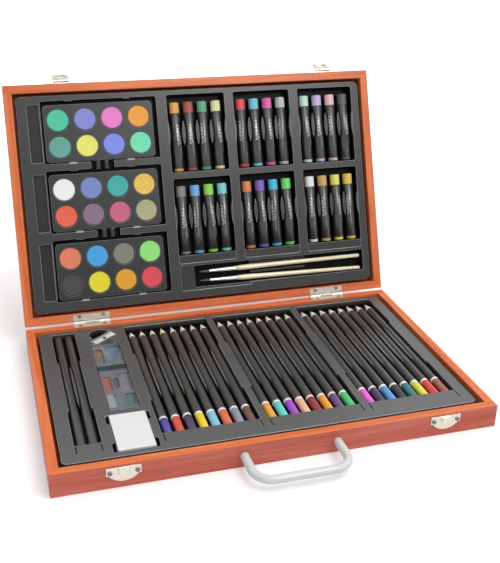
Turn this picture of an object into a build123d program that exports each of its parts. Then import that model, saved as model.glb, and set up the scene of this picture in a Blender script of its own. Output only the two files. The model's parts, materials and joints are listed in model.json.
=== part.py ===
from math import asin, cos, degrees, radians, sin, sqrt
import os

from build123d import *

# A wooden art supply case, open as photographed. Millimetres, X to the right, Y to the hinges, Z up,
# origin under the middle of the base. Lid pieces are drawn in the lid's own frame: X to the right,
# Y from its hinge edge to its front edge, Z out of the lid, with the rim at zero.

# Case
case_width = 375.0
case_depth = 232.0
half_height = 20.6
board = 8.0
panel_thickness = 3.0
panel_lap = 4.0
lid_angle = 110.5

# Hinges, whose bent tails meet behind the case and stop the lid
hinge_spread = 123.5
hinge_length = 36.0
leaf_thickness = 0.45
leaf_on_rim = 7.0
rim_gap = 1.3
pin_behind = 1.0
pin_radius = 0.7
knuckle_radius = 1.5
knuckle_gap = 0.35
stop_gap = 0.3
tail_length = 5.5
tail_thickness = 0.8
hinge_screw_spread = 11.8
hinge_screw_in = 4.7
front_gap = 0.4

# Screws
small_shank = 1.0
small_length = 6.0
small_head = 2.0
pan_height = 1.0
countersink_depth = 0.9
recess_width = 0.5
recess_depth = 0.5
hole_play = 0.05

# Latches
fitting_offset = 3.4
latch_spread = 135.2
plate_width = 27.0
plate_height = 12.8
plate_end = 7.2
plate_thickness = 1.0
plate_screw_spread = 10.7
strike_from_rim = 1.6
latch_plate_from_rim = 3.2
latch_pivot_in = 3.2
latch_pivot_out = 2.8
latch_pin_radius = 0.6
latch_barrel = 1.5
flap_width = 16.0
flap_length = 11.8
flap_inner = 1.5
flap_outer = 4.4
flap_fork = 6.8
flap_rest_angle = 147.0
flap_heel = 2.0
flap_heel_start = 0.35
catch_width = 8.4
catch_height = 3.8
catch_depth = 2.0
catch_belly = 4.0
catch_belly_rise = 0.2
catch_lip = 1.7
catch_play = 0.4
running_gap = 0.35

# Handle
handle_offset = 3.0
handle_spread = 39.3
handle_radius = 3.6
handle_reach = 34.0
handle_bend = 15.0
handle_height = 10.6
handle_screw_radius = 1.7
handle_screw_in = 12.0
handle_head_radius = 3.6
handle_head_height = 2.2
handle_washer_radius = 5.0
handle_washer_thickness = 1.0

# Formed trays
sheet = 1.0
tray_width = 353.0
tray_depth = 209.6
tray_drop = 2.5
tray_corner = 5.0
base_tray_rear_gap = 0.6
seat_gap = 0.3
side_play = 0.7
pocket_corner = 2.0
fin_below_top = 0.6

# Coloured pencils and the two drawing pencils
pencil_length = 180.0
pencil_radius = 3.7
pencil_below_top = 1.0
pencil_front = -79.8
pencil_pitch = 10.15
pencils_in_group = 8
pencil_group_pitch = 89.0
pencil_middle_group = 35.8
colour_lead_radius = 1.15
graphite_lead_radius = 1.1
point_length = 15.0
point_radius = 0.35
till_front = -29.0
till_rear = 49.0
till_step = 1.6
pocket_rear_room = 2.6
pocket_front_room = 0.7
pencil_fin = 1.8
pencil_fin_inset = 6.0
drawing_pencils = 2
drawing_pitch = 9.8
drawing_centre = -153.7
groove_length = 11.0
groove_width = 0.9
groove_depth = 0.5

# Sharpener
sharpener_x = -117.4
sharpener_y = 88.0
sharpener_turn = 31.0
sharpener_length = 25.0
sharpener_width = 10.8
sharpener_height = 10.0
sharpener_fall = 2.2
sharpener_mouth = 4.0
sharpener_mouth_inner = 0.9
sharpener_waist = 1.1
blade_length = 23.0
blade_width = 5.6
blade_thickness = 0.6
blade_slot = 2.0
blade_edge_across = 0.7
sharpener_seat_depth = 9.2
notch_x = -119.6
notch_y = 95.0
notch_radius = 9.8
notch_depth = 7.0
scoop_left = -121.5
scoop_right = -108.5
scoop_rear = 84.0
scoop_depth = 2.0

# Eraser and mixing tray
eraser_x = -117.2
eraser_y = -71.0
eraser_width = 30.4
eraser_length = 50.0
eraser_height = 12.0
eraser_above_top = 1.0
eraser_notch = 2.6
eraser_notch_length = 12.0
mixing_x = -117.4
mixing_y = 18.6
mixing_width = 25.8
mixing_length = 113.0
mixing_height = 5.0
mixing_below_top = 0.8
mixing_wall = 1.0
mixing_sink = 1.0
mixing_divider_y = 31.6
mixing_divider = 9.0
mixing_well_depth = 3.0
# Each dish of the mixing tray by its middle, width and length
left_dishes = [(-125.2, 56.5, 7.4, 26.0), (-125.2, 6.6, 7.4, 24.0), (-125.2, -20.8, 7.4, 22.0)]
right_dishes = [(-109.4, 7.6, 8.6, 31.0), (-109.4, -22.0, 8.6, 20.0), (-117.4, 6.6, 4.8, 17.0)]
dish_corner = 2.3
fan_left = -119.0
fan_right = -105.6
fan_front = 43.0
fan_rear = 72.5

# Watercolour palettes
palette_x = -98.6
palette_first = 49.4
palette_pitch = 67.4
palettes = 3
palette_width = 107.0
palette_height = 55.6
palette_thickness = 5.4
palette_below_top = 1.3
palette_corner = 4.0
cake_radius = 10.5
cake_thickness = 3.4
cake_below = 0.5
cake_play = 0.5
cake_columns = 4
cake_rows = 2
cake_pitch_x = 26.4
cake_pitch_y = 26.0
palette_room_top = 3.9
palette_room_left = 2.2
palette_room_right = 4.6
tab_length = 7.0
tab_reach = 0.9
tab_thickness = 0.9
tab_spread = 28.3
thumb_gap = 1.1
thumb_width = 11.4
thumb_depth = 2.6
bridge_notch_width = 23.0
bridge_notch_depth = 6.0
bridge_rib_radius = 2.9
bridge_rib_below = 1.2
bridge_rib_spread = 4.1

# Oil pastels
pastel_length = 69.5
pastel_radius = 5.0
pastel_pitch = 14.4
pastels_in_pocket = 4
pastel_columns = 3
pastel_column_pitch = 69.4
pastel_rows = 2
pastel_row_pitch = 84.1
pastel_first_end = 55.3
wrapper_thickness = 0.35
wrapper_from_end = 3.2
wrapper_from_tip = 10.8
pastel_below_top = 0.9
pastel_room_top = 7.4
pastel_pocket_width = 60.0
pastel_fin = 3.2
pastel_fin_from = 27.0
pastel_fin_length = 25.0
shelf_depth = 1.0
shelf_length = 8.0

# Brushes
brush_starts = (27.0, 36.4)
brush_ends = (23.6, 36.8)
brush_ferrule_start = 0.6
brush_ferrule_end = 28.4
brush_handle_end = 167.4
brush_tip_length = 11.0
brush_handle_neck = 2.1
brush_handle_belly = 2.8
brush_handle_waist = 2.3
brush_handle_tail = 1.9
brush_belly_at = 13.0
brush_waist_at = 62.0
ferrule_neck = 1.3
ferrule_wall = 0.25
brush_below_top = 1.6
brush_pocket_front = 21.2
brush_pocket_rear = 43.2
brush_pocket_room = 2.0
brush_tip_room = 5.2
brush_pocket_depth = 10.0
brush_side_play = 0.6
brush_ridge = 1.8
brush_ledge_left = -30.0
brush_ledge_front = 18.6
brush_ledge_rear = 43.6
brush_ledge_depth = 1.2
brush_saddle_from = 44.0
brush_saddle_length = 60.0
brush_saddle_rise = 1.6
hairs_across = 16
hair_fill = 0.6
hair_backing = 3.0
hair_belly = 1.45
hair_belly_at = 3.0
hair_rounding = 0.35
hair_taper = 0.22

# Places worked out from the sizes above
half_width = case_width / 2
half_depth = case_depth / 2
pin_y = half_depth + pin_behind
pin_z = half_height + rim_gap / 2
tray_top = half_height - tray_drop
closing_tilt = degrees(asin((rim_gap - front_gap) / case_depth))
strike_x = (fitting_offset - latch_spread, fitting_offset + latch_spread)


# The lid's frame when it stands `angle` degrees open
def lid_frame(angle):
    turn = radians(angle)
    edge_y = -pin_behind * cos(turn) + rim_gap / 2 * sin(turn)
    edge_z = pin_behind * sin(turn) + rim_gap / 2 * cos(turn)
    origin = (0, pin_y + edge_y, pin_z + edge_z)
    return Plane(origin=origin, x_dir=(1, 0, 0), z_dir=(0, -sin(turn), -cos(turn)))


lid_open = lid_frame(lid_angle)
lid_shut = lid_frame(-closing_tilt)
latch_pivot_shut = lid_shut.from_local_coords(Vector(0, case_depth + latch_pivot_out, -latch_pivot_in))


# A box given by its faces
def block(x0, x1, y0, y1, z0, z1):
    return Pos((x0 + x1) / 2, (y0 + y1) / 2, (z0 + z1) / 2) * Box(x1 - x0, y1 - y0, z1 - z0)


# The same with its upright edges rounded
def soft_block(x0, x1, y0, y1, z0, z1, radius):
    outline = RectangleRounded(x1 - x0, y1 - y0, radius)
    return Pos((x0 + x1) / 2, (y0 + y1) / 2, z0) * extrude(outline, z1 - z0)


# A round bar along X between two ends
def bar_x(x0, x1, y, z, radius):
    return Pos((x0 + x1) / 2, y, z) * Rot(0, 90, 0) * Cylinder(radius, x1 - x0)


# A solid of revolution about Y from points of radius and place along Y
def turned_y(points):
    outline = make_face(Polyline(*[(radius, along) for radius, along in points], close=True))
    return revolve(outline, Axis.Y)


# A solid of revolution about X from points of place along X and radius
def turned_x(points):
    outline = make_face(Polyline(*[(along, radius) for along, radius in points], close=True))
    return revolve(outline, Axis.X)


def save(name, *solids):
    shape = solids[0] if len(solids) == 1 else Compound(list(solids))
    export_step(shape, f"parts/{name}.step")


def in_lid(shape):
    return lid_open.location * shape


# Small cross-head screws, drawn with the head's seat at zero and the shank down
def cross_recess(top):
    long_bar = Box(small_head * 1.2, recess_width, recess_depth * 2)
    cross_bar = Box(recess_width, small_head * 1.2, recess_depth * 2)
    return Pos(0, 0, top) * (long_bar + cross_bar)


def pan_screw():
    head = Pos(0, 0, pan_height / 2) * Cylinder(small_head, pan_height)
    head = fillet(head.edges().sort_by(Axis.Z)[-1], pan_height * 0.6)
    shank = Pos(0, 0, -small_length / 2) * Cylinder(small_shank, small_length)
    return head + shank - cross_recess(pan_height)


def countersunk_screw():
    cone = Pos(0, 0, -countersink_depth / 2) * Cone(small_shank, small_head, countersink_depth)
    shank = Pos(0, 0, -small_length / 2) * Cylinder(small_shank, small_length)
    return cone + shank - cross_recess(0)


def screw_hole(depth):
    return Pos(0, 0, -depth / 2) * Cylinder(small_shank + hole_play, depth)


def countersink_hole():
    mouth = Cone(small_shank + hole_play, small_head + hole_play, countersink_depth)
    return Pos(0, 0, -countersink_depth / 2) * mouth + screw_hole(small_length + hole_play)


# One half of the wooden case, its rim at zero and its middle at the origin
def half_boards():
    left, right, front, rear = -half_width, half_width, -half_depth, half_depth
    inner = half_width - board
    rebate = block(left + panel_lap, right - panel_lap, front + panel_lap, rear - panel_lap,
                   -half_height, -half_height + panel_thickness)
    return {
        "front_board": block(left, right, front, front + board, -half_height, 0) - rebate,
        "rear_board": block(left, right, rear - board, rear, -half_height, 0) - rebate,
        "left_board": block(left, -inner, front + board, rear - board, -half_height, 0) - rebate,
        "right_board": block(inner, right, front + board, rear - board, -half_height, 0) - rebate,
        "panel": rebate,
    }


# Hinge leaves. Each is drawn about its pin: Y outwards behind the case, Z up, for the base's side
hinge_knuckle = (hinge_length - 2 * knuckle_gap) / 3


def knuckle_spans(outer):
    half = hinge_length / 2
    if outer:
        return [(-half, -half + hinge_knuckle), (half - hinge_knuckle, half)]
    return [(-hinge_knuckle / 2, hinge_knuckle / 2)]


def hinge_leaf(outer):
    half = hinge_length / 2
    low = -rim_gap / 2
    inner_edge = -pin_behind - leaf_on_rim
    leaf = block(-half, half, inner_edge, -knuckle_radius - running_gap, low, low + leaf_thickness)
    lean = lid_angle / 2
    tail_start = knuckle_radius + running_gap
    tail = block(-half, half, tail_start, tail_start + tail_length, -stop_gap / 2 - tail_thickness,
                 -stop_gap / 2)
    leaf += Rot(-lean, 0, 0) * tail
    for start, end in knuckle_spans(outer):
        leaf += bar_x(start, end, 0, 0, knuckle_radius)
        leaf += block(start, end, inner_edge, 0, low, low + leaf_thickness)
        web = block(start, end, 0, tail_start + 1, -stop_gap / 2 - tail_thickness, -stop_gap / 2)
        leaf += Rot(-lean, 0, 0) * web
    leaf -= bar_x(-half, half, 0, 0, pin_radius + hole_play)
    for x, y in hinge_screw_places():
        leaf -= Pos(x, y, low + leaf_thickness) * countersink_hole()
    return leaf


def hinge_screw_places():
    y = -pin_behind - hinge_screw_in
    return [(-hinge_screw_spread, y), (hinge_screw_spread, y)]


# From the pin's frame to the base, and to the lid, whose leaf is the same thing turned about
def at_base_hinge(side):
    return Pos(side * hinge_spread, pin_y, pin_z)


def at_lid_hinge(side):
    return Pos(side * hinge_spread, -pin_behind, rim_gap / 2) * Rot(0, 0, 180)


# The rims are cut away around the knuckles
def hinge_relief():
    half = hinge_length / 2 + running_gap
    return bar_x(-half, half, 0, 0, knuckle_radius + running_gap)


def hinge_screws(place, side):
    top = -rim_gap / 2 + leaf_thickness
    return [place(side) * Pos(x, y, top) * countersunk_screw() for x, y in hinge_screw_places()]


# The outline that strike and latch plates share: a straight edge at zero and a belly below it
def plate_outline():
    half = plate_width / 2
    belly = ThreePointArc((half * 0.86, -plate_end), (0, -plate_height), (-half * 0.86, -plate_end))
    edge = Polyline((-half * 0.86, -plate_end), (-half, -plate_end), (-half, 0), (half, 0),
                    (half, -plate_end), (half * 0.86, -plate_end))
    return make_face(belly + edge)


# Plates are drawn flat: X along the case, Y up the wall, Z out of the wall
screw_line = -plate_end * 0.62


def plate_screws(height):
    return [Pos(x, screw_line, height) * pan_screw() for x in (-plate_screw_spread, plate_screw_spread)]


def plate_blank():
    plate = extrude(plate_outline(), plate_thickness)
    for x in (-plate_screw_spread, plate_screw_spread):
        plate -= Pos(x, screw_line, plate_thickness) * screw_hole(plate_thickness * 2)
    return plate


# The wall's face under a plate: front of the base, and front of the lid
def base_wall_place(x, z):
    return Plane(origin=(x, -half_depth, z), x_dir=(1, 0, 0), z_dir=(0, -1, 0)).location


def lid_wall_place(x, z):
    return Plane(origin=(x, case_depth, z), x_dir=(-1, 0, 0), z_dir=(0, 1, 0)).location


strike_top = half_height - strike_from_rim
catch_top = latch_pivot_shut.Z - flap_length + catch_lip + catch_height


def strike_plate():
    plate = plate_blank()
    top = catch_top - strike_top
    bridge = block(-catch_width / 2, catch_width / 2, top - catch_height, top, 0,
                   plate_thickness + catch_depth)
    bridge = fillet(bridge.edges().filter_by(Axis.Y).group_by(Axis.Z)[-1], catch_depth * 0.5)
    belly = Pos(0, top - catch_height, 0) * extrude(
        make_face(ThreePointArc((-catch_width / 2, 0), (0, -catch_belly), (catch_width / 2, 0))
                  + Line((catch_width / 2, 0), (-catch_width / 2, 0))), plate_thickness + catch_belly_rise)
    return plate + bridge + belly


# Latch plate, with its middle knuckle on the pivot
def latch_plate():
    plate = plate_blank()
    knuckle_half = flap_fork / 2 - running_gap
    knuckle = bar_x(-knuckle_half, knuckle_half, latch_plate_from_rim - latch_pivot_in, latch_pivot_out,
                    latch_barrel)
    foot = block(-knuckle_half, knuckle_half, latch_plate_from_rim - latch_pivot_in - latch_barrel,
                 latch_plate_from_rim - latch_pivot_in, 0, latch_pivot_out)
    plate = plate + knuckle + foot
    return plate - bar_x(-flap_width, flap_width, latch_plate_from_rim - latch_pivot_in, latch_pivot_out,
                         latch_pin_radius + hole_play)


# The flap when shut, drawn about its pivot: Y down towards the strike, Z out of the wall
def latch_flap():
    half, fork = flap_width / 2, flap_fork / 2
    inner, outer = flap_inner - latch_pivot_out, flap_outer - latch_pivot_out
    flap = block(-half, half, latch_barrel + running_gap, flap_length, inner, outer)
    flap = fillet(flap.edges().filter_by(Axis.Z).group_by(Axis.Y)[-1], 2.0)
    for start, end in ((-half, -fork), (fork, half)):
        flap += bar_x(start, end, 0, 0, latch_barrel)
        flap += block(start, end, flap_heel_start, latch_barrel * 2, inner, flap_heel)
    catch_start = latch_pivot_shut.Z - catch_top
    flap -= block(-catch_width / 2 - catch_play, catch_width / 2 + catch_play, catch_start - catch_play,
                  catch_start + catch_height + catch_play, inner - 1, plate_thickness + catch_depth
                  + catch_play - latch_pivot_out)
    return flap - bar_x(-half, half, 0, 0, latch_pin_radius + hole_play)


# The carrying handle, a bent round bar screwed on from inside the base
def handle_leg_places():
    return [handle_offset - handle_spread, handle_offset + handle_spread]


def handle():
    left, right = handle_leg_places()
    wall, far = -half_depth, -half_depth - handle_reach
    points = [(left, wall, handle_height), (left, far, handle_height), (right, far, handle_height),
              (right, wall, handle_height)]
    path = FilletPolyline(*points, radius=handle_bend)
    section = Plane(origin=points[0], z_dir=(0, -1, 0)) * Circle(handle_radius)
    bar = sweep(section, path=path)
    for x in (left, right):
        bar -= handle_bore(x, handle_screw_radius + hole_play)
    return bar


def handle_bore(x, radius):
    length = board + handle_screw_in
    middle = -half_depth + board - length / 2
    return Pos(x, middle, handle_height) * Rot(90, 0, 0) * Cylinder(radius, length)


def handle_screw(x):
    seat = -half_depth + board + handle_washer_thickness
    head = Pos(x, seat + handle_head_height / 2, handle_height) * Rot(90, 0, 0) * Cylinder(
        handle_head_radius, handle_head_height)
    slot = block(x - handle_head_radius, x + handle_head_radius, seat + handle_head_height - recess_depth,
                 seat + handle_head_height, handle_height - recess_width / 2,
                 handle_height + recess_width / 2)
    shank = handle_bore(x, handle_screw_radius)
    neck = Pos(x, seat - handle_washer_thickness / 2, handle_height) * Rot(90, 0, 0) * Cylinder(
        handle_screw_radius, handle_washer_thickness)
    return head + neck + shank - slot


def handle_washer(x):
    middle = -half_depth + board + handle_washer_thickness / 2
    ring = Cylinder(handle_washer_radius, handle_washer_thickness)
    ring -= Cylinder(handle_screw_radius + hole_play, handle_washer_thickness)
    return Pos(x, middle, handle_height) * Rot(90, 0, 0) * ring


# Pockets are lists of rectangles (x0, x1, y0, y1) sunk under a tray's top face at height `top`
def pocket(rectangles, top, depth, grow=0.0, corner=pocket_corner):
    reach = 0.0 if grow else tray_drop
    shape = None
    for x0, x1, y0, y1 in rectangles:
        piece = soft_block(x0 - grow, x1 + grow, y0 - grow, y1 + grow, top - depth - grow, top + reach,
                           corner + grow)
        shape = piece if shape is None else shape + piece
    return shape


# An upright rib along Y, widest in the middle and thin at both ends
def fin(x, y0, y1, width, bottom, top):
    middle = (y0 + y1) / 2
    right = ThreePointArc((0, y0), (width / 2, middle), (0, y1))
    left = ThreePointArc((0, y1), (-width / 2, middle), (0, y0))
    return Pos(x, 0, bottom) * extrude(make_face(right + left), top - bottom)


# A formed sheet: top face and skirt, then every pocket's walls, then every pocket's space
def formed_tray(x_middle, y_middle, top, foot, cells, cuts=(), extras=()):
    x0, x1 = x_middle - tray_width / 2, x_middle + tray_width / 2
    y0, y1 = y_middle - tray_depth / 2, y_middle + tray_depth / 2
    shell = soft_block(x0, x1, y0, y1, foot, top, tray_corner)
    shell -= soft_block(x0 + sheet, x1 - sheet, y0 + sheet, y1 - sheet, foot, top - sheet,
                        tray_corner - sheet)
    walls = [pocket(rectangles, top, depth, sheet) for rectangles, depth in cells]
    shell = shell.fuse(*walls, *[cut(sheet) for cut in cuts])
    spaces = [pocket(rectangles, top, depth) for rectangles, depth in cells]
    shell = shell.cut(*spaces, *[cut(0.0) for cut in cuts])
    return shell.fuse(*extras)


# Base tray
def group_centre(number):
    return pencil_middle_group + (number - 1) * pencil_group_pitch


def bay_rectangles(centre, count, pitch):
    till = (count - 1) * pitch / 2 + pencil_radius + side_play
    wide = till + till_step
    rear = pencil_front + pencil_length + pocket_rear_room
    front = pencil_front - pocket_front_room
    return [(centre - wide, centre + wide, front, till_front), (centre - till, centre + till, front, rear),
            (centre - wide, centre + wide, till_rear, rear)]


pencil_depth = pencil_below_top + 2 * pencil_radius + seat_gap
pencil_axis_z = tray_top - pencil_below_top - pencil_radius
mixing_depth = mixing_below_top + mixing_height + seat_gap
eraser_depth = eraser_height - eraser_above_top + seat_gap


def bays():
    groups = [(group_centre(number), pencils_in_group, pencil_pitch) for number in range(3)]
    return groups + [(drawing_centre, drawing_pencils, drawing_pitch)]


def pencil_fins():
    fins = []
    for centre, count, pitch in bays():
        for gap in range(count - 1):
            x = centre + (gap - (count - 2) / 2) * pitch
            fins.append(fin(x, till_front + pencil_fin_inset / 2, till_rear - pencil_fin_inset, pencil_fin,
                            tray_top - pencil_depth, tray_top - fin_below_top))
    return fins


def corner_grooves():
    grooves = []
    for centre, count, pitch in bays():
        edge = (count - 1) * pitch / 2 + pencil_radius + side_play + till_step - groove_width
        front = pencil_front - pocket_front_room
        for x in (centre - edge, centre + edge):
            grooves.append(block(x - groove_width / 2, x + groove_width / 2, front - groove_length,
                                 front + pocket_corner, tray_top - groove_depth, tray_top + 1))
    return grooves


def sharpener_cut(grow):
    reach = 0.0 if grow else tray_drop
    length = sharpener_length + 2 * side_play + 2 * grow
    width = sharpener_width + 2 * side_play + 2 * grow
    depth = sharpener_seat_depth + seat_gap + grow
    slot = extrude(RectangleRounded(length, width, 1.0 + grow), depth + reach)
    slot = Pos(sharpener_x, sharpener_y, tray_top - depth) * Rot(0, 0, sharpener_turn) * slot
    dip = notch_depth + grow + reach
    notch = Pos(notch_x, notch_y, tray_top + reach - dip / 2) * Cylinder(notch_radius + grow, dip)
    return slot + notch


def eraser_rectangles():
    half_x, half_y = eraser_width / 2 + side_play, eraser_length / 2 + side_play
    near = (eraser_x - half_x - eraser_notch, eraser_x + half_x + eraser_notch)
    return [(eraser_x - half_x, eraser_x + half_x, eraser_y - half_y, eraser_y + half_y),
            (*near, eraser_y - half_y, eraser_y - half_y + eraser_notch_length),
            (*near, eraser_y + half_y - eraser_notch_length, eraser_y + half_y)]


def mixing_rectangles():
    half_x, half_y = mixing_width / 2 + side_play, mixing_length / 2 + side_play
    return [(mixing_x - half_x, mixing_x + half_x, mixing_y - half_y, mixing_y + half_y)]


# A scoop for a finger tip behind the mixing tray
def scoop_rectangles():
    front = mixing_y + mixing_length / 2 - pocket_corner
    return [(scoop_left, scoop_right, front, scoop_rear)]


def base_tray():
    cells = [(bay_rectangles(*bay), pencil_depth) for bay in bays()]
    cells.append((eraser_rectangles(), eraser_depth))
    cells.append((mixing_rectangles(), mixing_depth))
    cells.append((scoop_rectangles(), scoop_depth))
    y_middle = half_depth - board - base_tray_rear_gap - tray_depth / 2
    tray = formed_tray(0, y_middle, tray_top, panel_thickness, cells, [sharpener_cut], pencil_fins())
    return tray.cut(*corner_grooves())


# Pencils
# A pencil that has been sharpened, and one that hasn't
def pencil(lead_radius):
    rear = pencil_front + pencil_length
    shoulder = rear - point_length
    slope = (pencil_radius - point_radius) / point_length
    bore = lead_radius + hole_play
    bare = shoulder + (pencil_radius - bore) / slope
    lead_shoulder = shoulder + (pencil_radius - lead_radius) / slope
    casing = turned_y([(bore, pencil_front), (pencil_radius, pencil_front), (pencil_radius, shoulder),
                       (bore, bare)])
    lead = turned_y([(0, pencil_front), (lead_radius, pencil_front), (lead_radius, lead_shoulder),
                     (point_radius, rear), (0, rear)])
    return casing, lead


def plain_pencil(lead_radius):
    bore = lead_radius + hole_play
    rear = pencil_front + pencil_length
    casing = turned_y([(bore, pencil_front), (pencil_radius, pencil_front), (pencil_radius, rear),
                       (bore, rear)])
    lead = turned_y([(0, pencil_front), (lead_radius, pencil_front), (lead_radius, rear), (0, rear)])
    return casing, lead


def pencil_places(centre, count, pitch):
    return [Pos(centre + (number - (count - 1) / 2) * pitch, 0, pencil_axis_z) for number in range(count)]


# A wedge sharpener: a waisted block with a conical bore, a slot over it and the blade on its sloping top
def sharpener_pieces():
    half_length, half_width_s = sharpener_length / 2, sharpener_width / 2
    waist = half_width_s - sharpener_waist
    outline = make_face(
        ThreePointArc((-half_length, -half_width_s), (0, -waist), (half_length, -half_width_s))
        + Line((half_length, -half_width_s), (half_length, half_width_s))
        + ThreePointArc((half_length, half_width_s), (0, waist), (-half_length, half_width_s))
        + Line((-half_length, half_width_s), (-half_length, -half_width_s)))
    body = extrude(outline, sharpener_height)
    slope = degrees(asin(sharpener_fall / sharpener_length))
    top_place = Pos(half_length, 0, sharpener_height) * Rot(0, -slope, 0)
    body -= top_place * block(-sharpener_length * 2, sharpener_length, -sharpener_width, sharpener_width,
                              0, sharpener_height)
    axis_z = sharpener_height - sharpener_mouth - 1.2
    cone = Rot(0, 90, 0) * Cone(sharpener_mouth_inner, sharpener_mouth, sharpener_length)
    body -= Pos(0, 0, axis_z) * cone
    slot_y = blade_edge_across
    body -= block(-half_length + 2.0, half_length - 2.4, slot_y, slot_y + blade_slot, axis_z,
                  sharpener_height + 1)
    blade_y = slot_y - blade_width / 2
    blade = block(-blade_length / 2, blade_length / 2, blade_y - blade_width / 2,
                  blade_y + blade_width / 2, 0, blade_thickness)
    hole = Pos(0, blade_y - 0.8, 0) * Cylinder(small_shank + hole_play, 6 * blade_thickness)
    blade_place = top_place * Pos(-half_length, 0, 0)
    body -= blade_place * Pos(0, blade_y - 0.8, -1.0) * Cylinder(small_shank + hole_play, 2.0)
    blade = blade_place * (blade - hole)
    screw = blade_place * Pos(0, blade_y - 0.8, blade_thickness) * blade_screw()
    return body, blade, screw


def blade_screw():
    head = Pos(0, 0, 0.35) * Cylinder(small_head * 0.9, 0.7)
    shank = Pos(0, 0, -1.2) * Cylinder(small_shank, 2.4)
    return head + shank - block(-small_head, small_head, -recess_width / 2, recess_width / 2, 0.3, 1.0)


sharpener_place = Pos(sharpener_x, sharpener_y, tray_top - sharpener_seat_depth) * Rot(0, 0, sharpener_turn)


def eraser():
    bottom = tray_top + eraser_above_top - eraser_height
    block_shape = soft_block(eraser_x - eraser_width / 2, eraser_x + eraser_width / 2,
                             eraser_y - eraser_length / 2, eraser_y + eraser_length / 2, bottom,
                             bottom + eraser_height, 1.0)
    return fillet(block_shape.edges().group_by(Axis.Z)[-1], 0.6)


def mixing_tray():
    top = tray_top - mixing_below_top
    x0, x1 = mixing_x - mixing_width / 2, mixing_x + mixing_width / 2
    y0, y1 = mixing_y - mixing_length / 2, mixing_y + mixing_length / 2
    body = soft_block(x0, x1, y0, y1, top - mixing_height, top, 2.5)
    spans = [(y0 + mixing_wall, mixing_divider_y - mixing_divider / 2),
             (mixing_divider_y + mixing_divider / 2, y1 - mixing_wall)]
    hollows = [soft_block(x0 + mixing_wall, x1 - mixing_wall, start, end, top - mixing_sink, top + 1, 1.6)
               for start, end in spans]
    floor = top - mixing_well_depth
    for x, y, width, length in left_dishes + right_dishes:
        hollows.append(soft_block(x - width / 2, x + width / 2, y - length / 2, y + length / 2, floor,
                                  top + 1, dish_corner))
    return body.cut(*hollows, Pos(0, 0, floor) * extrude(fan_outline(), top + 1 - floor))


# The quarter-round dish
def fan_outline():
    bulge = (fan_left + (fan_right - fan_left) * 0.76, fan_front + (fan_rear - fan_front) * 0.33)
    curve = ThreePointArc((fan_right, fan_rear), bulge, (fan_left, fan_front))
    return make_face(curve + Polyline((fan_left, fan_front), (fan_left, fan_rear), (fan_right, fan_rear)))


# Lid tray, in the lid's frame
lid_top = -tray_drop
palette_depth = palette_below_top + palette_thickness + seat_gap
pastel_outer = pastel_radius + wrapper_thickness
pastel_depth = pastel_below_top + 2 * pastel_outer + seat_gap
pastel_axis_z = lid_top - pastel_below_top - pastel_outer


def palette_centre(number):
    return palette_first + number * palette_pitch


def palette_rectangle(number):
    y = palette_centre(number)
    bottom = y - palette_height / 2 - tab_reach - seat_gap
    top = y + palette_height / 2 + palette_room_top
    half = palette_width / 2
    return palette_x - half - palette_room_left, palette_x + half + palette_room_right, bottom, top


def thumb_rectangle(number):
    x0, x1, y0, y1 = palette_rectangle(number)
    return x0 - thumb_gap - thumb_width, x0 - thumb_gap, y0 + 2, y1 - 3


def pastel_column_x(column):
    return column * pastel_column_pitch


def pastel_end(row):
    return pastel_first_end + row * pastel_row_pitch


def pastel_rectangle(column, row):
    x = pastel_column_x(column)
    bottom = pastel_end(row) - seat_gap - side_play
    top = pastel_end(row) + pastel_length + pastel_room_top
    return x - pastel_pocket_width / 2, x + pastel_pocket_width / 2, bottom, top


def brush_rectangles():
    left = brush_ferrule_start - brush_tip_length - brush_tip_room
    right = brush_handle_end + brush_pocket_room
    return [(left, right, brush_pocket_front, brush_pocket_rear)]


def brush_ledge_rectangles():
    return [(brush_ledge_left, brush_saddle_from, brush_ledge_front, brush_ledge_rear)]


def pastel_fins():
    fins = []
    for column in range(pastel_columns):
        for row in range(pastel_rows):
            x0, x1, y0, y1 = pastel_rectangle(column, row)
            start = y0 + pastel_fin_from
            inside = [pastel_column_x(column) + (gap - 1) * pastel_pitch
                      for gap in range(pastels_in_pocket - 1)]
            for x in [x0, *inside, x1]:
                fins.append(fin(x, start, start + pastel_fin_length, pastel_fin, lid_top - pastel_depth,
                                lid_top - fin_below_top))
    return fins


def palette_tabs():
    tabs = []
    for number in range(palettes):
        x0, x1, y0, y1 = palette_rectangle(number)
        for start, end in ((y0 - sheet, y0 + tab_reach), (y1 - tab_reach, y1 + sheet)):
            for x in (palette_x - tab_spread, palette_x + tab_spread):
                tabs.append(block(x - tab_length / 2, x + tab_length / 2, start, end,
                                  lid_top - tab_thickness, lid_top))
    return tabs


def bridge_ribs():
    ribs = []
    for number in range(palettes - 1):
        start = palette_rectangle(number)[3] - sheet / 2
        end = palette_rectangle(number + 1)[2] + sheet / 2
        place = Pos(0, (start + end) / 2, lid_top - bridge_rib_below - bridge_rib_radius) * Rot(90, 0, 0)
        for x in (palette_x - bridge_rib_spread, palette_x + bridge_rib_spread):
            ribs.append(Pos(x, 0, 0) * place * Cylinder(bridge_rib_radius, end - start))
    return ribs


# Where each brush's middle lies across the pocket, at a place along X
def brush_line(number, x):
    start, end = brush_starts[number], brush_ends[number]
    return start + (end - start) * (x - brush_ferrule_start) / (brush_handle_end - brush_ferrule_start)


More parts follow.
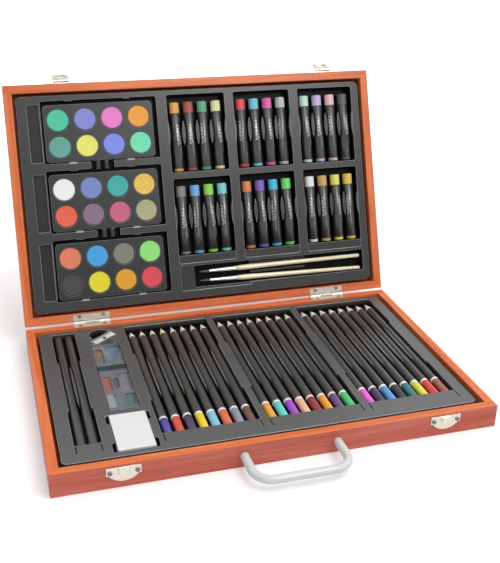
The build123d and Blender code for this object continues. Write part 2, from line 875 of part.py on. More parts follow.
def brush_saddle():
    x0, x1, y0, y1 = brush_rectangles()[0]
    start, end = brush_saddle_from, brush_saddle_from + brush_saddle_length
    floor = lid_top - brush_pocket_depth
    top = lid_top - brush_below_top - 2 * brush_handle_belly - seat_gap
    middle = (brush_line(0, start) + brush_line(1, start)) / 2
    reach = brush_handle_belly + brush_side_play
    front, rear = brush_line(0, end) - reach, brush_line(1, end) + reach
    ridges = [(y0, front), (middle - brush_ridge / 2, middle + brush_ridge / 2), (rear, y1)]
    pieces = [block(start, end, y0, y1, floor, top)]
    for low, high in ridges:
        pieces.append(block(start, end, low, high, floor, top + brush_handle_belly + brush_saddle_rise))
    return pieces


def lid_tray():
    cells = [([palette_rectangle(number)], palette_depth) for number in range(palettes)]
    cells += [([thumb_rectangle(number)], thumb_depth) for number in range(palettes)]
    for number in range(palettes - 1):
        start = palette_rectangle(number)[3] - sheet
        end = palette_rectangle(number + 1)[2] + sheet
        half = bridge_notch_width / 2
        cells.append(([(palette_x - half, palette_x + half, start - 2, end + 2)], bridge_notch_depth))
    for column in range(pastel_columns):
        x0, x1, y0, y1 = pastel_rectangle(column, 0)
        cells.append(([(x0, x1, y0 - shelf_length, y0 + pocket_corner)], shelf_depth))
        cells += [([pastel_rectangle(column, row)], pastel_depth) for row in range(pastel_rows)]
    cells.append((brush_ledge_rectangles(), brush_ledge_depth))
    cells.append((brush_rectangles(), brush_pocket_depth))
    extras = pastel_fins() + palette_tabs() + bridge_ribs() + brush_saddle()
    return formed_tray(0, half_depth, lid_top, -half_height + panel_thickness, cells, (), extras)


# A palette with its round wells, and the cakes of colour in them
def cake_places(number):
    places = []
    for row in range(cake_rows):
        for column in range(cake_columns):
            x = palette_x + (column - (cake_columns - 1) / 2) * cake_pitch_x
            y = palette_centre(number) + ((cake_rows - 1) / 2 - row) * cake_pitch_y
            places.append((x, y))
    return places


def palette(number):
    y = palette_centre(number)
    top = lid_top - palette_below_top
    body = soft_block(palette_x - palette_width / 2, palette_x + palette_width / 2, y - palette_height / 2,
                      y + palette_height / 2, top - palette_thickness, top, palette_corner)
    well = cake_thickness + cake_below
    return body.cut(*[Pos(x, cake_y, top - well / 2) * Cylinder(cake_radius + cake_play, well)
                      for x, cake_y in cake_places(number)])


def cakes(number):
    middle = lid_top - palette_below_top - cake_below - cake_thickness / 2
    return [Pos(x, y, middle) * Cylinder(cake_radius, cake_thickness) for x, y in cake_places(number)]


def pastel_stick(x, start):
    return Pos(x, start + pastel_length / 2, pastel_axis_z) * Rot(90, 0, 0) * Cylinder(
        pastel_radius, pastel_length)


def pastel_wrapper(x, start):
    length = pastel_length - wrapper_from_end - wrapper_from_tip
    middle = start + wrapper_from_end + length / 2
    tube = Cylinder(pastel_outer, length) - Cylinder(pastel_radius + hole_play, length)
    return Pos(x, middle, pastel_axis_z) * Rot(90, 0, 0) * tube


def pastel_row(row, maker):
    return [maker(pastel_column_x(column) + (number - (pastels_in_pocket - 1) / 2) * pastel_pitch,
                  pastel_end(row))
            for column in range(pastel_columns) for number in range(pastels_in_pocket)]


# Brushes along X: handle, ferrule and hair
brush_axis_z = lid_top - brush_below_top - brush_handle_belly
socket_depth = 8.0


# Each brush is drawn along X and then turned to lie on its line
def brush_place(number):
    run = brush_handle_end - brush_ferrule_start
    slant = degrees(asin((brush_ends[number] - brush_starts[number]) / run))
    pivot = Pos(brush_ferrule_start, brush_starts[number], brush_axis_z)
    return pivot * Rot(0, 0, slant) * Pos(-brush_ferrule_start, 0, 0)


def brush_handle():
    socket = brush_handle_neck - ferrule_wall - hole_play
    start = brush_ferrule_end
    return turned_x([(start - socket_depth, 0), (start - socket_depth, socket * 0.9), (start, socket),
                     (start, brush_handle_neck), (start + brush_belly_at / 2, brush_handle_belly * 0.93),
                     (start + brush_belly_at, brush_handle_belly),
                     (start + 2 * brush_belly_at, brush_handle_belly * 0.92),
                     (start + brush_waist_at, brush_handle_waist),
                     (brush_handle_end - brush_handle_tail, brush_handle_tail),
                     (brush_handle_end - brush_handle_tail * 0.4, brush_handle_tail * 0.8),
                     (brush_handle_end, brush_handle_tail * 0.3), (brush_handle_end, 0)])


def brush_ferrule():
    start, end = brush_ferrule_start, brush_ferrule_end
    outer = [(start, ferrule_neck), (end - socket_depth, brush_handle_neck * 0.93), (end, brush_handle_neck)]
    inner = [(x, radius - ferrule_wall) for x, radius in reversed(outer)]
    return turned_x(outer + inner)


# Each hair is a square rod from a disc inside the ferrule. All swell and draw in alike, so none crosses
# another
def brush_hair():
    radius = ferrule_neck - ferrule_wall - hole_play
    spacing = 2 * radius / hairs_across
    disc = bar_x(brush_ferrule_start, brush_ferrule_start + hair_backing, 0, 0, radius)
    offsets = [(number - (hairs_across - 1) / 2) * spacing for number in range(hairs_across)]
    places = [(y, z) for y in offsets for z in offsets if sqrt(y * y + z * z) < radius - spacing * 0.7]
    hairs = [hair(y, z, spacing, sqrt(y * y + z * z) / radius) for y, z in places]
    return disc.fuse(*hairs), len(hairs)


def hair(y, z, spacing, outness):
    reach = brush_tip_length * (1 - hair_rounding * outness ** 2)
    drawn_in = (reach - hair_belly_at) / (brush_tip_length - hair_belly_at)
    last = hair_belly - (hair_belly - hair_taper) * drawn_in
    sections = []
    for along, scale in ((-spacing, 1.0), (hair_belly_at, hair_belly), (reach, last)):
        place = Plane(origin=(brush_ferrule_start - along, y * scale, z * scale), x_dir=(0, 1, 0),
                      z_dir=(-1, 0, 0))
        sections.append(place * Rectangle(spacing * hair_fill * scale, spacing * hair_fill * scale))
    return loft(sections, ruled=True)


def save_case():
    base = {name: Pos(0, 0, half_height) * shape for name, shape in half_boards().items()}
    lid = {name: Pos(0, half_depth, 0) * shape for name, shape in half_boards().items()}
    # The lid hinges along the long board that is its rear when it's shut
    front, rear = lid["rear_board"], lid["front_board"]
    for side in (-1, 1):
        base["rear_board"] -= at_base_hinge(side) * hinge_relief()
        rear -= at_lid_hinge(side) * hinge_relief()
        for x, y in hinge_screw_places():
            seat = Pos(x, y, -rim_gap / 2 + leaf_thickness)
            base["rear_board"] -= at_base_hinge(side) * seat * countersink_hole()
            rear -= at_lid_hinge(side) * seat * countersink_hole()
    for x in strike_x:
        for screw_x in (-plate_screw_spread, plate_screw_spread):
            seat = Pos(screw_x, screw_line, plate_thickness)
            base["front_board"] -= base_wall_place(x, strike_top) * seat * screw_hole(small_length + hole_play)
            front -= lid_wall_place(x, -latch_plate_from_rim) * seat * screw_hole(small_length + hole_play)
    for x in handle_leg_places():
        base["front_board"] -= handle_bore(x, handle_screw_radius + hole_play)
    lid["front_board"], lid["rear_board"] = front, rear
    for name in base:
        save(f"base_{name}", base[name])
        save(f"lid_{name}", in_lid(lid[name]))


def save_hinges():
    sides = (-1, 1)
    half = hinge_length / 2
    save("hinge_base_leaves", *[at_base_hinge(side) * hinge_leaf(True) for side in sides])
    save("hinge_lid_leaves", *[in_lid(at_lid_hinge(side) * hinge_leaf(False)) for side in sides])
    save("hinge_pins", *[at_base_hinge(side) * bar_x(-half, half, 0, 0, pin_radius) for side in sides])
    save("hinge_base_screws", *[screw for side in sides for screw in hinge_screws(at_base_hinge, side)])
    lid_screws = [in_lid(screw) for side in sides for screw in hinge_screws(at_lid_hinge, side)]
    save("hinge_lid_screws", *lid_screws)


def save_latches():
    strikes, strike_screws, plates, plate_fixings, pins = [], [], [], [], []
    for x, name in zip(strike_x, ("left", "right")):
        wall = base_wall_place(x, strike_top)
        strikes.append(wall * strike_plate())
        strike_screws += [wall * screw for screw in plate_screws(plate_thickness)]
        lid_wall = lid_wall_place(x, -latch_plate_from_rim)
        plates.append(in_lid(lid_wall * latch_plate()))
        plate_fixings += [in_lid(lid_wall * screw) for screw in plate_screws(plate_thickness)]
        pivot = lid_wall * Pos(0, latch_plate_from_rim - latch_pivot_in, latch_pivot_out)
        pins.append(in_lid(pivot * bar_x(-flap_width / 2, flap_width / 2, 0, 0, latch_pin_radius)))
        save(f"latch_flap_{name}", in_lid(pivot * Rot(flap_rest_angle, 0, 0) * latch_flap()))
    save("strike_plates", *strikes)
    save("strike_screws", *strike_screws)
    save("latch_plates", *plates)
    save("latch_screws", *plate_fixings)
    save("latch_pins", *pins)


def save_handle():
    save("handle", handle())
    save("handle_screws", *[handle_screw(x) for x in handle_leg_places()])
    save("handle_washers", *[handle_washer(x) for x in handle_leg_places()])


def save_base_contents():
    save("base_tray", base_tray())
    casing, lead = pencil(colour_lead_radius)
    for number, name in enumerate(("left", "middle", "right")):
        places = pencil_places(group_centre(number), pencils_in_group, pencil_pitch)
        save(f"pencils_{name}", *[place * casing for place in places])
        save(f"pencil_leads_{name}", *[place * lead for place in places])
    casing, lead = plain_pencil(graphite_lead_radius)
    places = pencil_places(drawing_centre, drawing_pencils, drawing_pitch)
    save("drawing_pencils", *[place * casing for place in places])
    save("drawing_pencil_leads", *[place * lead for place in places])
    for name, piece in zip(("body", "blade", "screw"), sharpener_pieces()):
        save(f"sharpener_{name}", sharpener_place * piece)
    save("eraser", eraser())
    save("mixing_tray", mixing_tray())


def save_lid_contents():
    save("lid_tray", in_lid(lid_tray()))
    for number, name in enumerate(("lower", "middle", "upper")):
        save(f"palette_{name}", in_lid(palette(number)))
        save(f"cakes_{name}", *[in_lid(cake) for cake in cakes(number)])
    for row, name in enumerate(("lower", "upper")):
        save(f"pastels_{name}", *[in_lid(stick) for stick in pastel_row(row, pastel_stick)])
        save(f"pastel_wrappers_{name}", *[in_lid(tube) for tube in pastel_row(row, pastel_wrapper)])
    hair_piece, hair_count = brush_hair()
    places = [brush_place(number) for number in range(len(brush_starts))]
    save("brush_handles", *[in_lid(place * brush_handle()) for place in places])
    save("brush_ferrules", *[in_lid(place * brush_ferrule()) for place in places])
    save("brush_hair", *[in_lid(place * hair_piece) for place in places])
    print("hairs in all", hair_count * len(places))


def main():
    os.makedirs("parts", exist_ok=True)
    save_case()
    save_hinges()
    save_latches()
    save_handle()
    save_base_contents()
    save_lid_contents()
    print("hinge pin", pin_y, pin_z, "range", round(lid_angle + closing_tilt, 3))
    for x in strike_x:
        pivot = lid_open.from_local_coords(Vector(x, case_depth + latch_pivot_out, -latch_pivot_in))
        print("flap pivot", round(pivot.X, 3), round(pivot.Y, 3), round(pivot.Z, 3))


if __name__ == "__main__":
    main()
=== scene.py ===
import json
import math

import bmesh
import bpy
import numpy as np
from mathutils import Matrix, Vector


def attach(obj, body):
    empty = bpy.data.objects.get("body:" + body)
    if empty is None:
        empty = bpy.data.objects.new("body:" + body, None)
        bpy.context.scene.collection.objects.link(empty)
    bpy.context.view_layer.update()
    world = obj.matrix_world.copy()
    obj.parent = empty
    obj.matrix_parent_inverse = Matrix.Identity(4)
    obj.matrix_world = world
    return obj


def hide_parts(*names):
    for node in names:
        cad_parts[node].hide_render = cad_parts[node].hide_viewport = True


# A wooden art supply case, open, with everything that its two trays hold.
# Shapes are worked out in millimetres and put into the meshes in metres.
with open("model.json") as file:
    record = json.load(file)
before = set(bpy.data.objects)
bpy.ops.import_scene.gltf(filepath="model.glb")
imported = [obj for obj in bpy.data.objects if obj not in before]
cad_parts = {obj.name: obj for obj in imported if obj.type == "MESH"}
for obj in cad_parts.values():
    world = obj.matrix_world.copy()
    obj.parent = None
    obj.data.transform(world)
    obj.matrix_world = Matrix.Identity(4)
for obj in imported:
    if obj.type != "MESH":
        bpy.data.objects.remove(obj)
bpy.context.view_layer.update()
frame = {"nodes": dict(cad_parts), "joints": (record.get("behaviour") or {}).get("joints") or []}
mm = 0.001
joints = {joint["name"]: joint for joint in frame["joints"]}

case = {
    "width": 375.0,
    "depth": 232.0,
    "halfHeight": 20.6,
    "trayDrop": 2.5,      # from the rim down to the tray's face
    "pinBehind": 1.0,     # hinge pin behind the rear face
    "rimGap": 1.3,        # between the shut rims at the hinges
}
trayFace = -case["trayDrop"]

# The lid's own frame: x, up the lid from its hinge edge, and out of the lid, with the rim at zero
outOfLid = np.array(joints["lift_brushes"]["axis"], float)
outOfLid /= np.linalg.norm(outOfLid)
acrossLid = np.array([1.0, 0.0, 0.0])
upLid = np.cross(outOfLid, acrossLid)
lidTurn = math.atan2(upLid[2], upLid[1])
pin = np.array(joints["lid_hinge"]["pos_m"], float)
lidCorner = pin + case["pinBehind"] * mm * upLid - case["rimGap"] / 2 * mm * outOfLid


def inBase(points):
    # x, y to the hinges, z up from the rim
    return (points + [0, 0, case["halfHeight"]]) * mm


def inLid(points):
    # corner + x across + y up the lid + z out of it
    return lidCorner + (points * mm) @ np.stack([acrossLid, upLid, outOfLid])


def sweepFaces(rows, columns):
    # quads between neighbouring rows of a grid of points that closes on itself along each row
    row, column = np.meshgrid(np.arange(rows - 1), np.arange(columns), indexing="ij")
    after = (column + 1) % columns
    first, second = row * columns, (row + 1) * columns
    return np.stack([first + column, first + after, second + after, second + column], -1).reshape(-1, 4)


def turned(along, radius, sides=24, axis="y", ripple=None):
    # places on a line and radii round it, where ripple is a share of the radius for each angle
    angle = np.linspace(0, 2 * math.pi, sides, endpoint=False)
    along = np.repeat(np.asarray(along, float)[:, None], sides, 1)
    radius = np.repeat(np.asarray(radius, float)[:, None], sides, 1)
    if ripple is not None:
        radius = radius * (1 + ripple(angle))
    first, second = radius * np.cos(angle), radius * np.sin(angle)
    order = {"x": (along, first, second), "y": (second, along, first), "z": (first, second, along)}[axis]
    return np.stack(order, -1).reshape(-1, 3), sweepFaces(len(along), sides)


def linkObject(name, mesh, body, replaces):
    piece = bpy.data.objects.new(name, mesh)
    bpy.context.scene.collection.objects.link(piece)
    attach(piece, body)
    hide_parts(*replaces)
    return piece


def setTint(mesh, colours):
    # one colour for each corner of each face, into the attribute tint
    values = np.concatenate([colours, np.ones((len(colours), 1))], 1)
    tint = mesh.color_attributes.new("tint", "FLOAT_COLOR", "CORNER")
    tint.data.foreach_set("color", values.astype(np.float32).ravel())


def makePiece(name, shapes, materials, place, body, replaces, smoothAngle=40):
    # shapes are (points, quads, where they go, material number, colour). The colour goes into the
    # attribute tint, and the points as drawn, in millimetres, into the attribute spot
    drawn = np.concatenate([shape[0] for shape in shapes])
    points = np.concatenate([shape[0] + shape[2] for shape in shapes])
    starts = np.cumsum([0] + [len(shape[0]) for shape in shapes])
    quads = np.concatenate([shape[1] + start for shape, start in zip(shapes, starts)])
    which = np.concatenate([np.full(len(shape[1]), shape[3]) for shape in shapes])
    colours = np.concatenate([np.tile(shape[4], (len(shape[1]) * 4, 1)) for shape in shapes])
    mesh = bpy.data.meshes.new(name)
    mesh.from_pydata(place(points), [], quads.tolist())
    mesh.polygons.foreach_set("material_index", which.astype(np.int32))
    setTint(mesh, colours)
    spot = mesh.attributes.new("spot", "FLOAT_VECTOR", "POINT")
    spot.data.foreach_set("vector", drawn.astype(np.float32).ravel())
    mergePoles(mesh)
    mesh.shade_smooth()
    mesh.set_sharp_from_angle(angle=math.radians(smoothAngle))
    for material in materials:
        mesh.materials.append(material)
    return linkObject(name, mesh, body, replaces)


def mergePoles(mesh, samePoint=1e-7, noLength=1e-8):
    # a ring of no radius becomes one point, and edges of no length go
    shape = bmesh.new()
    shape.from_mesh(mesh)
    bmesh.ops.remove_doubles(shape, verts=shape.verts, dist=samePoint)
    bmesh.ops.dissolve_degenerate(shape, edges=shape.edges, dist=noLength)
    shape.to_mesh(mesh)
    shape.free()


easing = {
    "samePoint": 2e-6,       # metres between corners of the CAD's triangles that are one corner
    "flat": 0.5,             # degrees between triangles that lie in one flat
    "sharp": 35,             # degrees between two faces from which the edge they share is eased
    "facing": -0.99,         # two edges face each other where the product of their directions is below this
    "shortest": 2.0,         # millimetres, and a shorter edge isn't taken for the side of a wall
    "wallShare": 0.45,       # of a thin wall's thickness, for each of its two sides
    "tiny": (1e-12, 1e-18),  # added to a length and to its square, so that neither is zero
}


def shareOfEase(shape, width, look=easing):
    # each sharp edge's share of the easing: 1, or less on a wall too thin to be eased fully on both sides
    limit = math.radians(look["sharp"])
    tinyLength, tinySquare = look["tiny"]
    layer = shape.edges.layers.float.new("bevel_weight_edge")
    for edge in shape.edges:
        edge[layer] = float(edge.calc_face_angle(0.0) > limit)
    for face in shape.faces:
        sharp = [loop for loop in face.loops if loop.edge[layer] > 0]
        if len(sharp) < 2:
            continue
        start = np.array([loop.vert.co for loop in sharp])
        line = np.array([loop.link_loop_next.vert.co for loop in sharp]) - start
        inward = np.cross(np.array(face.normal), line)
        inward /= np.linalg.norm(inward, axis=1)[:, None] + tinyLength
        middle = start + line / 2
        # the nearest place on each other edge to this edge's middle
        along = np.einsum("ijk,jk->ij", middle[:, None] - start[None], line)
        along /= np.sum(line ** 2, 1) + tinySquare
        near = start[None] + np.clip(along, 0, 1)[..., None] * line[None]
        gap = np.linalg.norm(near - middle[:, None], axis=2)
        gap[inward @ inward.T > look["facing"]] = np.inf
        short = np.linalg.norm(line, axis=1) < look["shortest"] * mm
        gap[short] = np.inf
        gap[:, short] = np.inf
        for loop, room in zip(sharp, gap.min(1)):
            if room < 2 * width:
                loop.edge[layer] = min(loop.edge[layer], look["wallShare"] * room / width)


def easedCopy(node, material, body, width, segments=2, colouring=None, edgeHighlightMaterial=None, thin=False,
              look=easing):
    # the CAD piece with its triangles joined, its flats made whole and its edges eased by the width
    shape = bmesh.new()
    shape.from_mesh(frame["nodes"][node].data)
    bmesh.ops.remove_doubles(shape, verts=shape.verts, dist=look["samePoint"])
    bmesh.ops.dissolve_limit(shape, angle_limit=math.radians(look["flat"]), verts=shape.verts,
                             edges=shape.edges)
    if thin:
        shareOfEase(shape, width * mm)
    mesh = bpy.data.meshes.new(node + "Eased")
    shape.to_mesh(mesh)
    shape.free()
    mesh.materials.append(material)
    # an optional second material: a painted highlight on the eased edges
    if edgeHighlightMaterial:
        mesh.materials.append(edgeHighlightMaterial)
    if colouring:
        colouring(mesh)
    mesh.shade_smooth()
    mesh.set_sharp_from_angle(angle=math.radians(look["sharp"]))
    piece = linkObject(node + "Eased", mesh, body, (node,))
    if width:
        bevel = piece.modifiers.new("ease", "BEVEL")
        bevel.width = width * mm
        bevel.segments = segments
        bevel.limit_method = "WEIGHT" if thin else "ANGLE"
        bevel.angle_limit = math.radians(look["sharp"])
        bevel.use_clamp_overlap = False
        bevel.face_strength_mode = "FSTR_ALL"
        if edgeHighlightMaterial:
            bevel.material = 1
        shading = piece.modifiers.new("flats", "WEIGHTED_NORMAL")
        shading.mode = "FACE_AREA"
        shading.use_face_influence = True
        shading.keep_sharp = True
    return piece


def srgb(code):
    # a colour as written on the screen, to the renderer's linear values
    value = np.array([int(code[place:place + 2], 16) for place in (1, 3, 5)]) / 255
    return np.where(value <= 0.04045, value / 12.92, ((value + 0.055) / 1.055) ** 2.4)


def rgba(code):
    return (*srgb(code), 1.0)


class Recipe:
    # a material and the few calls that wire its nodes
    def __init__(self, name, **sockets):
        self.material = bpy.data.materials.new(name)
        self.material.use_nodes = True
        self.nodes = self.material.node_tree.nodes
        self.links = self.material.node_tree.links
        self.shader = self.nodes["Principled BSDF"]
        for socket, value in sockets.items():
            self.shader.inputs[socket.replace("_", " ")].default_value = value

    def add(self, kind, settings=None, **inputs):
        node = self.nodes.new(kind)
        for key, value in (settings or {}).items():
            setattr(node, key, value)
        for key, value in inputs.items():
            socket = node.inputs[key.replace("_", " ")]
            if isinstance(value, bpy.types.NodeSocket):
                self.links.new(value, socket)
            else:
                socket.default_value = value
        return node

    def own(self, half):
        # object coordinates moved into the frame of the base or the lid, with the rim at zero
        source = self.add("ShaderNodeTexCoord").outputs["Object"]
        origin = np.array([0, 0, case["halfHeight"] * mm]) if half == "base" else lidCorner
        moved = self.add("ShaderNodeMapping", Vector=source, Location=tuple(-origin)).outputs["Vector"]
        lean = 0.0 if half == "base" else -lidTurn
        return self.add("ShaderNodeMapping", Vector=moved, Rotation=(lean, 0, 0)).outputs["Vector"]

    def spot(self):
        return self.add("ShaderNodeAttribute", {"attribute_name": "spot"}).outputs["Vector"]

    def scaled(self, vector, scale, turn=0.0):
        turnedVector = self.add("ShaderNodeMapping", Vector=vector, Rotation=(0, 0, turn)).outputs["Vector"]
        return self.add("ShaderNodeMapping", Vector=turnedVector, Scale=scale).outputs["Vector"]

    def part(self, vector, letter):
        return self.add("ShaderNodeSeparateXYZ", Vector=vector).outputs[letter]

    def noise(self, vector, detail=3.0, roughness=0.5, distortion=0.0):
        return self.add("ShaderNodeTexNoise", Vector=vector, Scale=1.0, Detail=detail, Roughness=roughness,
                        Distortion=distortion).outputs["Fac"]

    def ramp(self, factor, *stops):
        # stops are (place, colour) in rising order
        node = self.add("ShaderNodeValToRGB", Fac=factor)
        elements = node.color_ramp.elements
        for place, colour in stops[2:]:
            elements.new(place)
        for element, (place, colour) in zip(elements, stops):
            element.position = place
            element.color = colour
        return node.outputs["Color"]

    def mix(self, factor, first, second, blend="MIX"):
        node = self.add("ShaderNodeMix", {"data_type": "RGBA", "blend_type": blend})
        for index, value in ((0, factor), (6, first), (7, second)):
            if isinstance(value, bpy.types.NodeSocket):
                self.links.new(value, node.inputs[index])
            else:
                node.inputs[index].default_value = value
        return node.outputs[2]

    def spread(self, value, low, high, fromLow=0.0, fromHigh=1.0):
        # a range of values carried onto another, and held at its ends
        return self.add("ShaderNodeMapRange", Value=value, From_Min=fromLow, From_Max=fromHigh, To_Min=low,
                        To_Max=high).outputs["Result"]

    def sum(self, operation, first, second=0.0):
        # one step of arithmetic, or a comparison that gives 1 or 0
        node = self.add("ShaderNodeMath", {"operation": operation})
        for socket, value in zip(node.inputs, (first, second)):
            if isinstance(value, bpy.types.NodeSocket):
                self.links.new(value, socket)
            else:
                socket.default_value = value
        return node.outputs[0]

    def away(self, value, middle):
        # how far a value is from a middle, either way
        return self.sum("ABSOLUTE", self.sum("SUBTRACT", value, middle))

    def feed(self, socket, value):
        self.links.new(value, self.shader.inputs[socket])

    def bump(self, height, distance, strength):
        node = self.add("ShaderNodeBump", Height=height, Distance=distance, Strength=strength)
        self.feed("Normal", node.outputs["Normal"])

    def tint(self):
        return self.add("ShaderNodeAttribute", {"attribute_name": "tint"}).outputs["Color"]


wood = {
    "dark": "#C65D33",
    "middle": "#DA7342",
    "light": "#E48554",
    "places": (0.3, 0.5, 0.7),   # where those three are on the figure's noise
    "outer": (0.79, 0.76, 1.58),   # the outside takes a duller stain and painted shade that darkens it: its red, green and blue times these
    "outerSkin": 0.2,        # millimetres of depth that count as outside
    "grainLength": 9.0,      # streaks per metre along the grain
    "grainWidth": 300.0,     # and across it
    "figureWidth": 0.5,      # the broad figure's share of the streaks across
    "finer": (5, 3.4),       # the pores are finer than the streaks by these factors, along and across
    "pore": (0.66, 0.5, 0.42, 1),   # the colour in a pore, times the wood's
    "porePlaces": (0.3, 0.55),   # on the pores' noise, from in a pore to clear of it
    "poreDepth": 0.24,       # how far the pores darken it
    "poreSink": 0.00005,     # metres
    "roughness": (0.36, 0.5),
    "ease": 0.3,
}


def outsideStainAndShade(recipe, own, half, look=wood):
    # 1 on the outer faces, which take the duller stain and the painted shade: further than the box's half
    # sizes, less the skin, along any one direction
    x, y, z = [recipe.part(own, letter) for letter in "XYZ"]
    middle = 0.0 if half == "base" else case["depth"] / 2
    fromSide = recipe.sum("SUBTRACT", recipe.sum("ABSOLUTE", x), case["width"] / 2 * mm)
    fromEnd = recipe.sum("SUBTRACT", recipe.away(y, middle * mm), case["depth"] / 2 * mm)
    fromPanel = recipe.sum("SUBTRACT", recipe.sum("MULTIPLY", z, -1.0), case["halfHeight"] * mm)
    nearest = recipe.sum("MAXIMUM", recipe.sum("MAXIMUM", fromSide, fromEnd), fromPanel)
    return recipe.sum("GREATER_THAN", nearest, -look["outerSkin"] * mm)


def stainedWood(name, half, grainTurn=0.0, look=wood):
    # broad figure and fine pores, both drawn out along X once the coordinates are turned
    recipe = Recipe(name, Coat_Weight=0.05, Coat_Roughness=0.3, Specular_IOR_Level=0.25)
    own = recipe.own(half)
    along, across = look["grainLength"], look["grainWidth"]
    broad = (along,) + (across * look["figureWidth"],) * 2
    fine = (along * look["finer"][0],) + (across * look["finer"][1],) * 2
    figure = recipe.noise(recipe.scaled(own, broad, grainTurn), 4.0, 0.6, 0.5)
    pores = recipe.noise(recipe.scaled(own, fine, grainTurn), 2.0, 0.6)
    shades = [rgba(look[shade]) for shade in ("dark", "middle", "light")]
    colour = recipe.ramp(figure, *zip(look["places"], shades))
    # the outer faces: a duller stain, darkened by painted shade
    colour = recipe.mix(outsideStainAndShade(recipe, own, half), colour,
                        recipe.mix(1.0, colour, (*look["outer"], 1.0), "MULTIPLY"))
    dark = recipe.ramp(pores, *zip(look["porePlaces"], (look["pore"], (1, 1, 1, 1))))
    recipe.feed("Base Color", recipe.mix(look["poreDepth"], colour, dark, "MULTIPLY"))
    recipe.feed("Roughness", recipe.spread(figure, *look["roughness"]))
    recipe.bump(pores, look["poreSink"], 0.5)
    return recipe.material


sheet = {
    # one black sheet in both halves: the base's colours are painted lighter and the lid's darker, as painted
    # light
    "face": {"base": "#464647", "lid": "#2E2E2F"},
    "worn": {"base": "#4F4F4F", "lid": "#373737"},
    # a near-white painted highlight on the trays' eased edges
    "rim": {"base": "#D2D2D2", "lid": "#E0E0E0"},
    "gloss": {"base": 1.1, "lid": 0.35},
    # the painted shade deep in the pockets, standing in for the shade that falls there
    "deep": "#0D0D0D",
    "deepGloss": 0.15,       # share of the gloss that is left down there, under the painted shade
    "deepFrom": 0.2,         # millimetres under the tray's face where the painted shade starts to darken it
    "deepTo": 6.0,
    "grooveY": -86.9,        # the short grooves in front of the pencil bays, which take the painted shade of the depths
    "grooveHalf": 5.6,
    "grooveUnder": 0.03,     # millimetres under the tray's face that count as in a groove
    "tabHighlight": "#A0A4A3",        # a pale painted highlight on the snap tabs in front of the palettes
    "tabMiddle": -98.6,      # across, halfway between the two tabs of a line
    "tabSpread": 28.3,       # from there to each tab's middle
    "tabLines": (20.8, 88.2, 155.6),   # up the lid
    "tabHalf": (4.2, 1.5),   # half of a tab, across and up
    "tabFade": (1.0, 0.5),   # the outer part of that half, where it fades out
    "tabDepth": 1.0,         # millimetres under the tray's face that still count as a tab
    "roughness": {"base": 0.4, "lid": 0.34},
    "cloud": 16,             # soft clouds and grains, per metre
    "grain": 1400.0,
    "grainDepth": 0.00002,   # metres
    "ease": 0.22,
}


def tabHighlightShare(recipe, own, height, look=sheet):
    # 1 on the snap tabs, where the pale painted highlight goes: near one of two places across, near one of the
    # lines up the lid, and not sunk
    fromMiddle = recipe.away(recipe.part(own, "X"), look["tabMiddle"] * mm)
    aside = recipe.away(fromMiddle, look["tabSpread"] * mm)
    halfLong, halfWide = look["tabHalf"]
    fadeLong, fadeWide = look["tabFade"]
    across = recipe.spread(aside, 1.0, 0.0, (halfLong - fadeLong) * mm, halfLong * mm)
    onLine = 0.0
    for line in look["tabLines"]:
        off = recipe.away(recipe.part(own, "Y"), line * mm)
        onLine = recipe.sum("MAXIMUM", onLine,
                            recipe.spread(off, 1.0, 0.0, (halfWide - fadeWide) * mm, halfWide * mm))
    atTop = recipe.sum("GREATER_THAN", height, (trayFace - look["tabDepth"]) * mm)
    return recipe.sum("MULTIPLY", recipe.sum("MULTIPLY", across, onLine), atTop)


def formedSheet(name, half, colours, look=sheet):
    # black sheet, with painted shade that darkens it the further it lies under the tray's face. The base's
    # grooves take that painted shade too, as dark as its depths, and the lid's tabs a pale painted highlight
    recipe = Recipe(name, Roughness=look["roughness"][half])
    own = recipe.own(half)
    cloud = recipe.noise(recipe.scaled(own, (look["cloud"],) * 3), 3.0)
    face = recipe.mix(cloud, rgba(colours[0]), rgba(colours[1]))
    top, gloss = trayFace * mm, look["gloss"][half]
    height = recipe.part(own, "Z")
    # painted shade: darker the further the surface lies under the tray's face
    depthShade = recipe.spread(height, 1.0, 0.0, top - look["deepTo"] * mm, top - look["deepFrom"] * mm)
    if half == "base":
        # the grooves take the same painted shade as the depths
        fromGroove = recipe.away(recipe.part(own, "Y"), look["grooveY"] * mm)
        inGroove = recipe.sum("MULTIPLY", recipe.sum("LESS_THAN", fromGroove, look["grooveHalf"] * mm),
                              recipe.sum("LESS_THAN", height, top - look["grooveUnder"] * mm))
        depthShade = recipe.sum("MAXIMUM", depthShade, inGroove)
    else:
        # a pale painted highlight on the tabs
        face = recipe.mix(tabHighlightShare(recipe, own, height, look), face, rgba(look["tabHighlight"]))
    recipe.feed("Base Color", recipe.mix(depthShade, face, rgba(look["deep"])))
    recipe.feed("Specular IOR Level", recipe.spread(depthShade, gloss, gloss * look["deepGloss"]))
    grain = recipe.noise(recipe.scaled(own, (look["grain"],) * 3), 2.0)
    recipe.bump(grain, look["grainDepth"], 0.5)
    return recipe.material


def plainSurface(name, colours, half, roughness, clouds, grain, depth=0.00001, **sockets):
    # two close colours in soft clouds, over a fine grain, with clouds and grains per metre
    recipe = Recipe(name, Roughness=roughness, **sockets)
    own = recipe.own(half)
    cloud = recipe.noise(recipe.scaled(own, (clouds,) * 3), 3.0)
    recipe.feed("Base Color", recipe.mix(cloud, rgba(colours[0]), rgba(colours[1])))
    recipe.bump(recipe.noise(recipe.scaled(own, (grain,) * 3), 2.0), depth, 0.5)
    return recipe.material


def brightMetal(name, colours, roughness, half, brushed=(60, 1800, 1800), metallic=1.0):
    # fine lines change its colour and its roughness a little. Brushed is how many per metre lie along x, y
    # and z
    recipe = Recipe(name, Metallic=metallic)
    lines = recipe.noise(recipe.scaled(recipe.own(half), brushed), 3.0)
    recipe.feed("Base Color", recipe.mix(lines, rgba(colours[0]), rgba(colours[1])))
    recipe.feed("Roughness", recipe.spread(lines, roughness * 0.75, roughness * 1.3))
    recipe.bump(lines, 0.000006, 0.4)
    return recipe.material


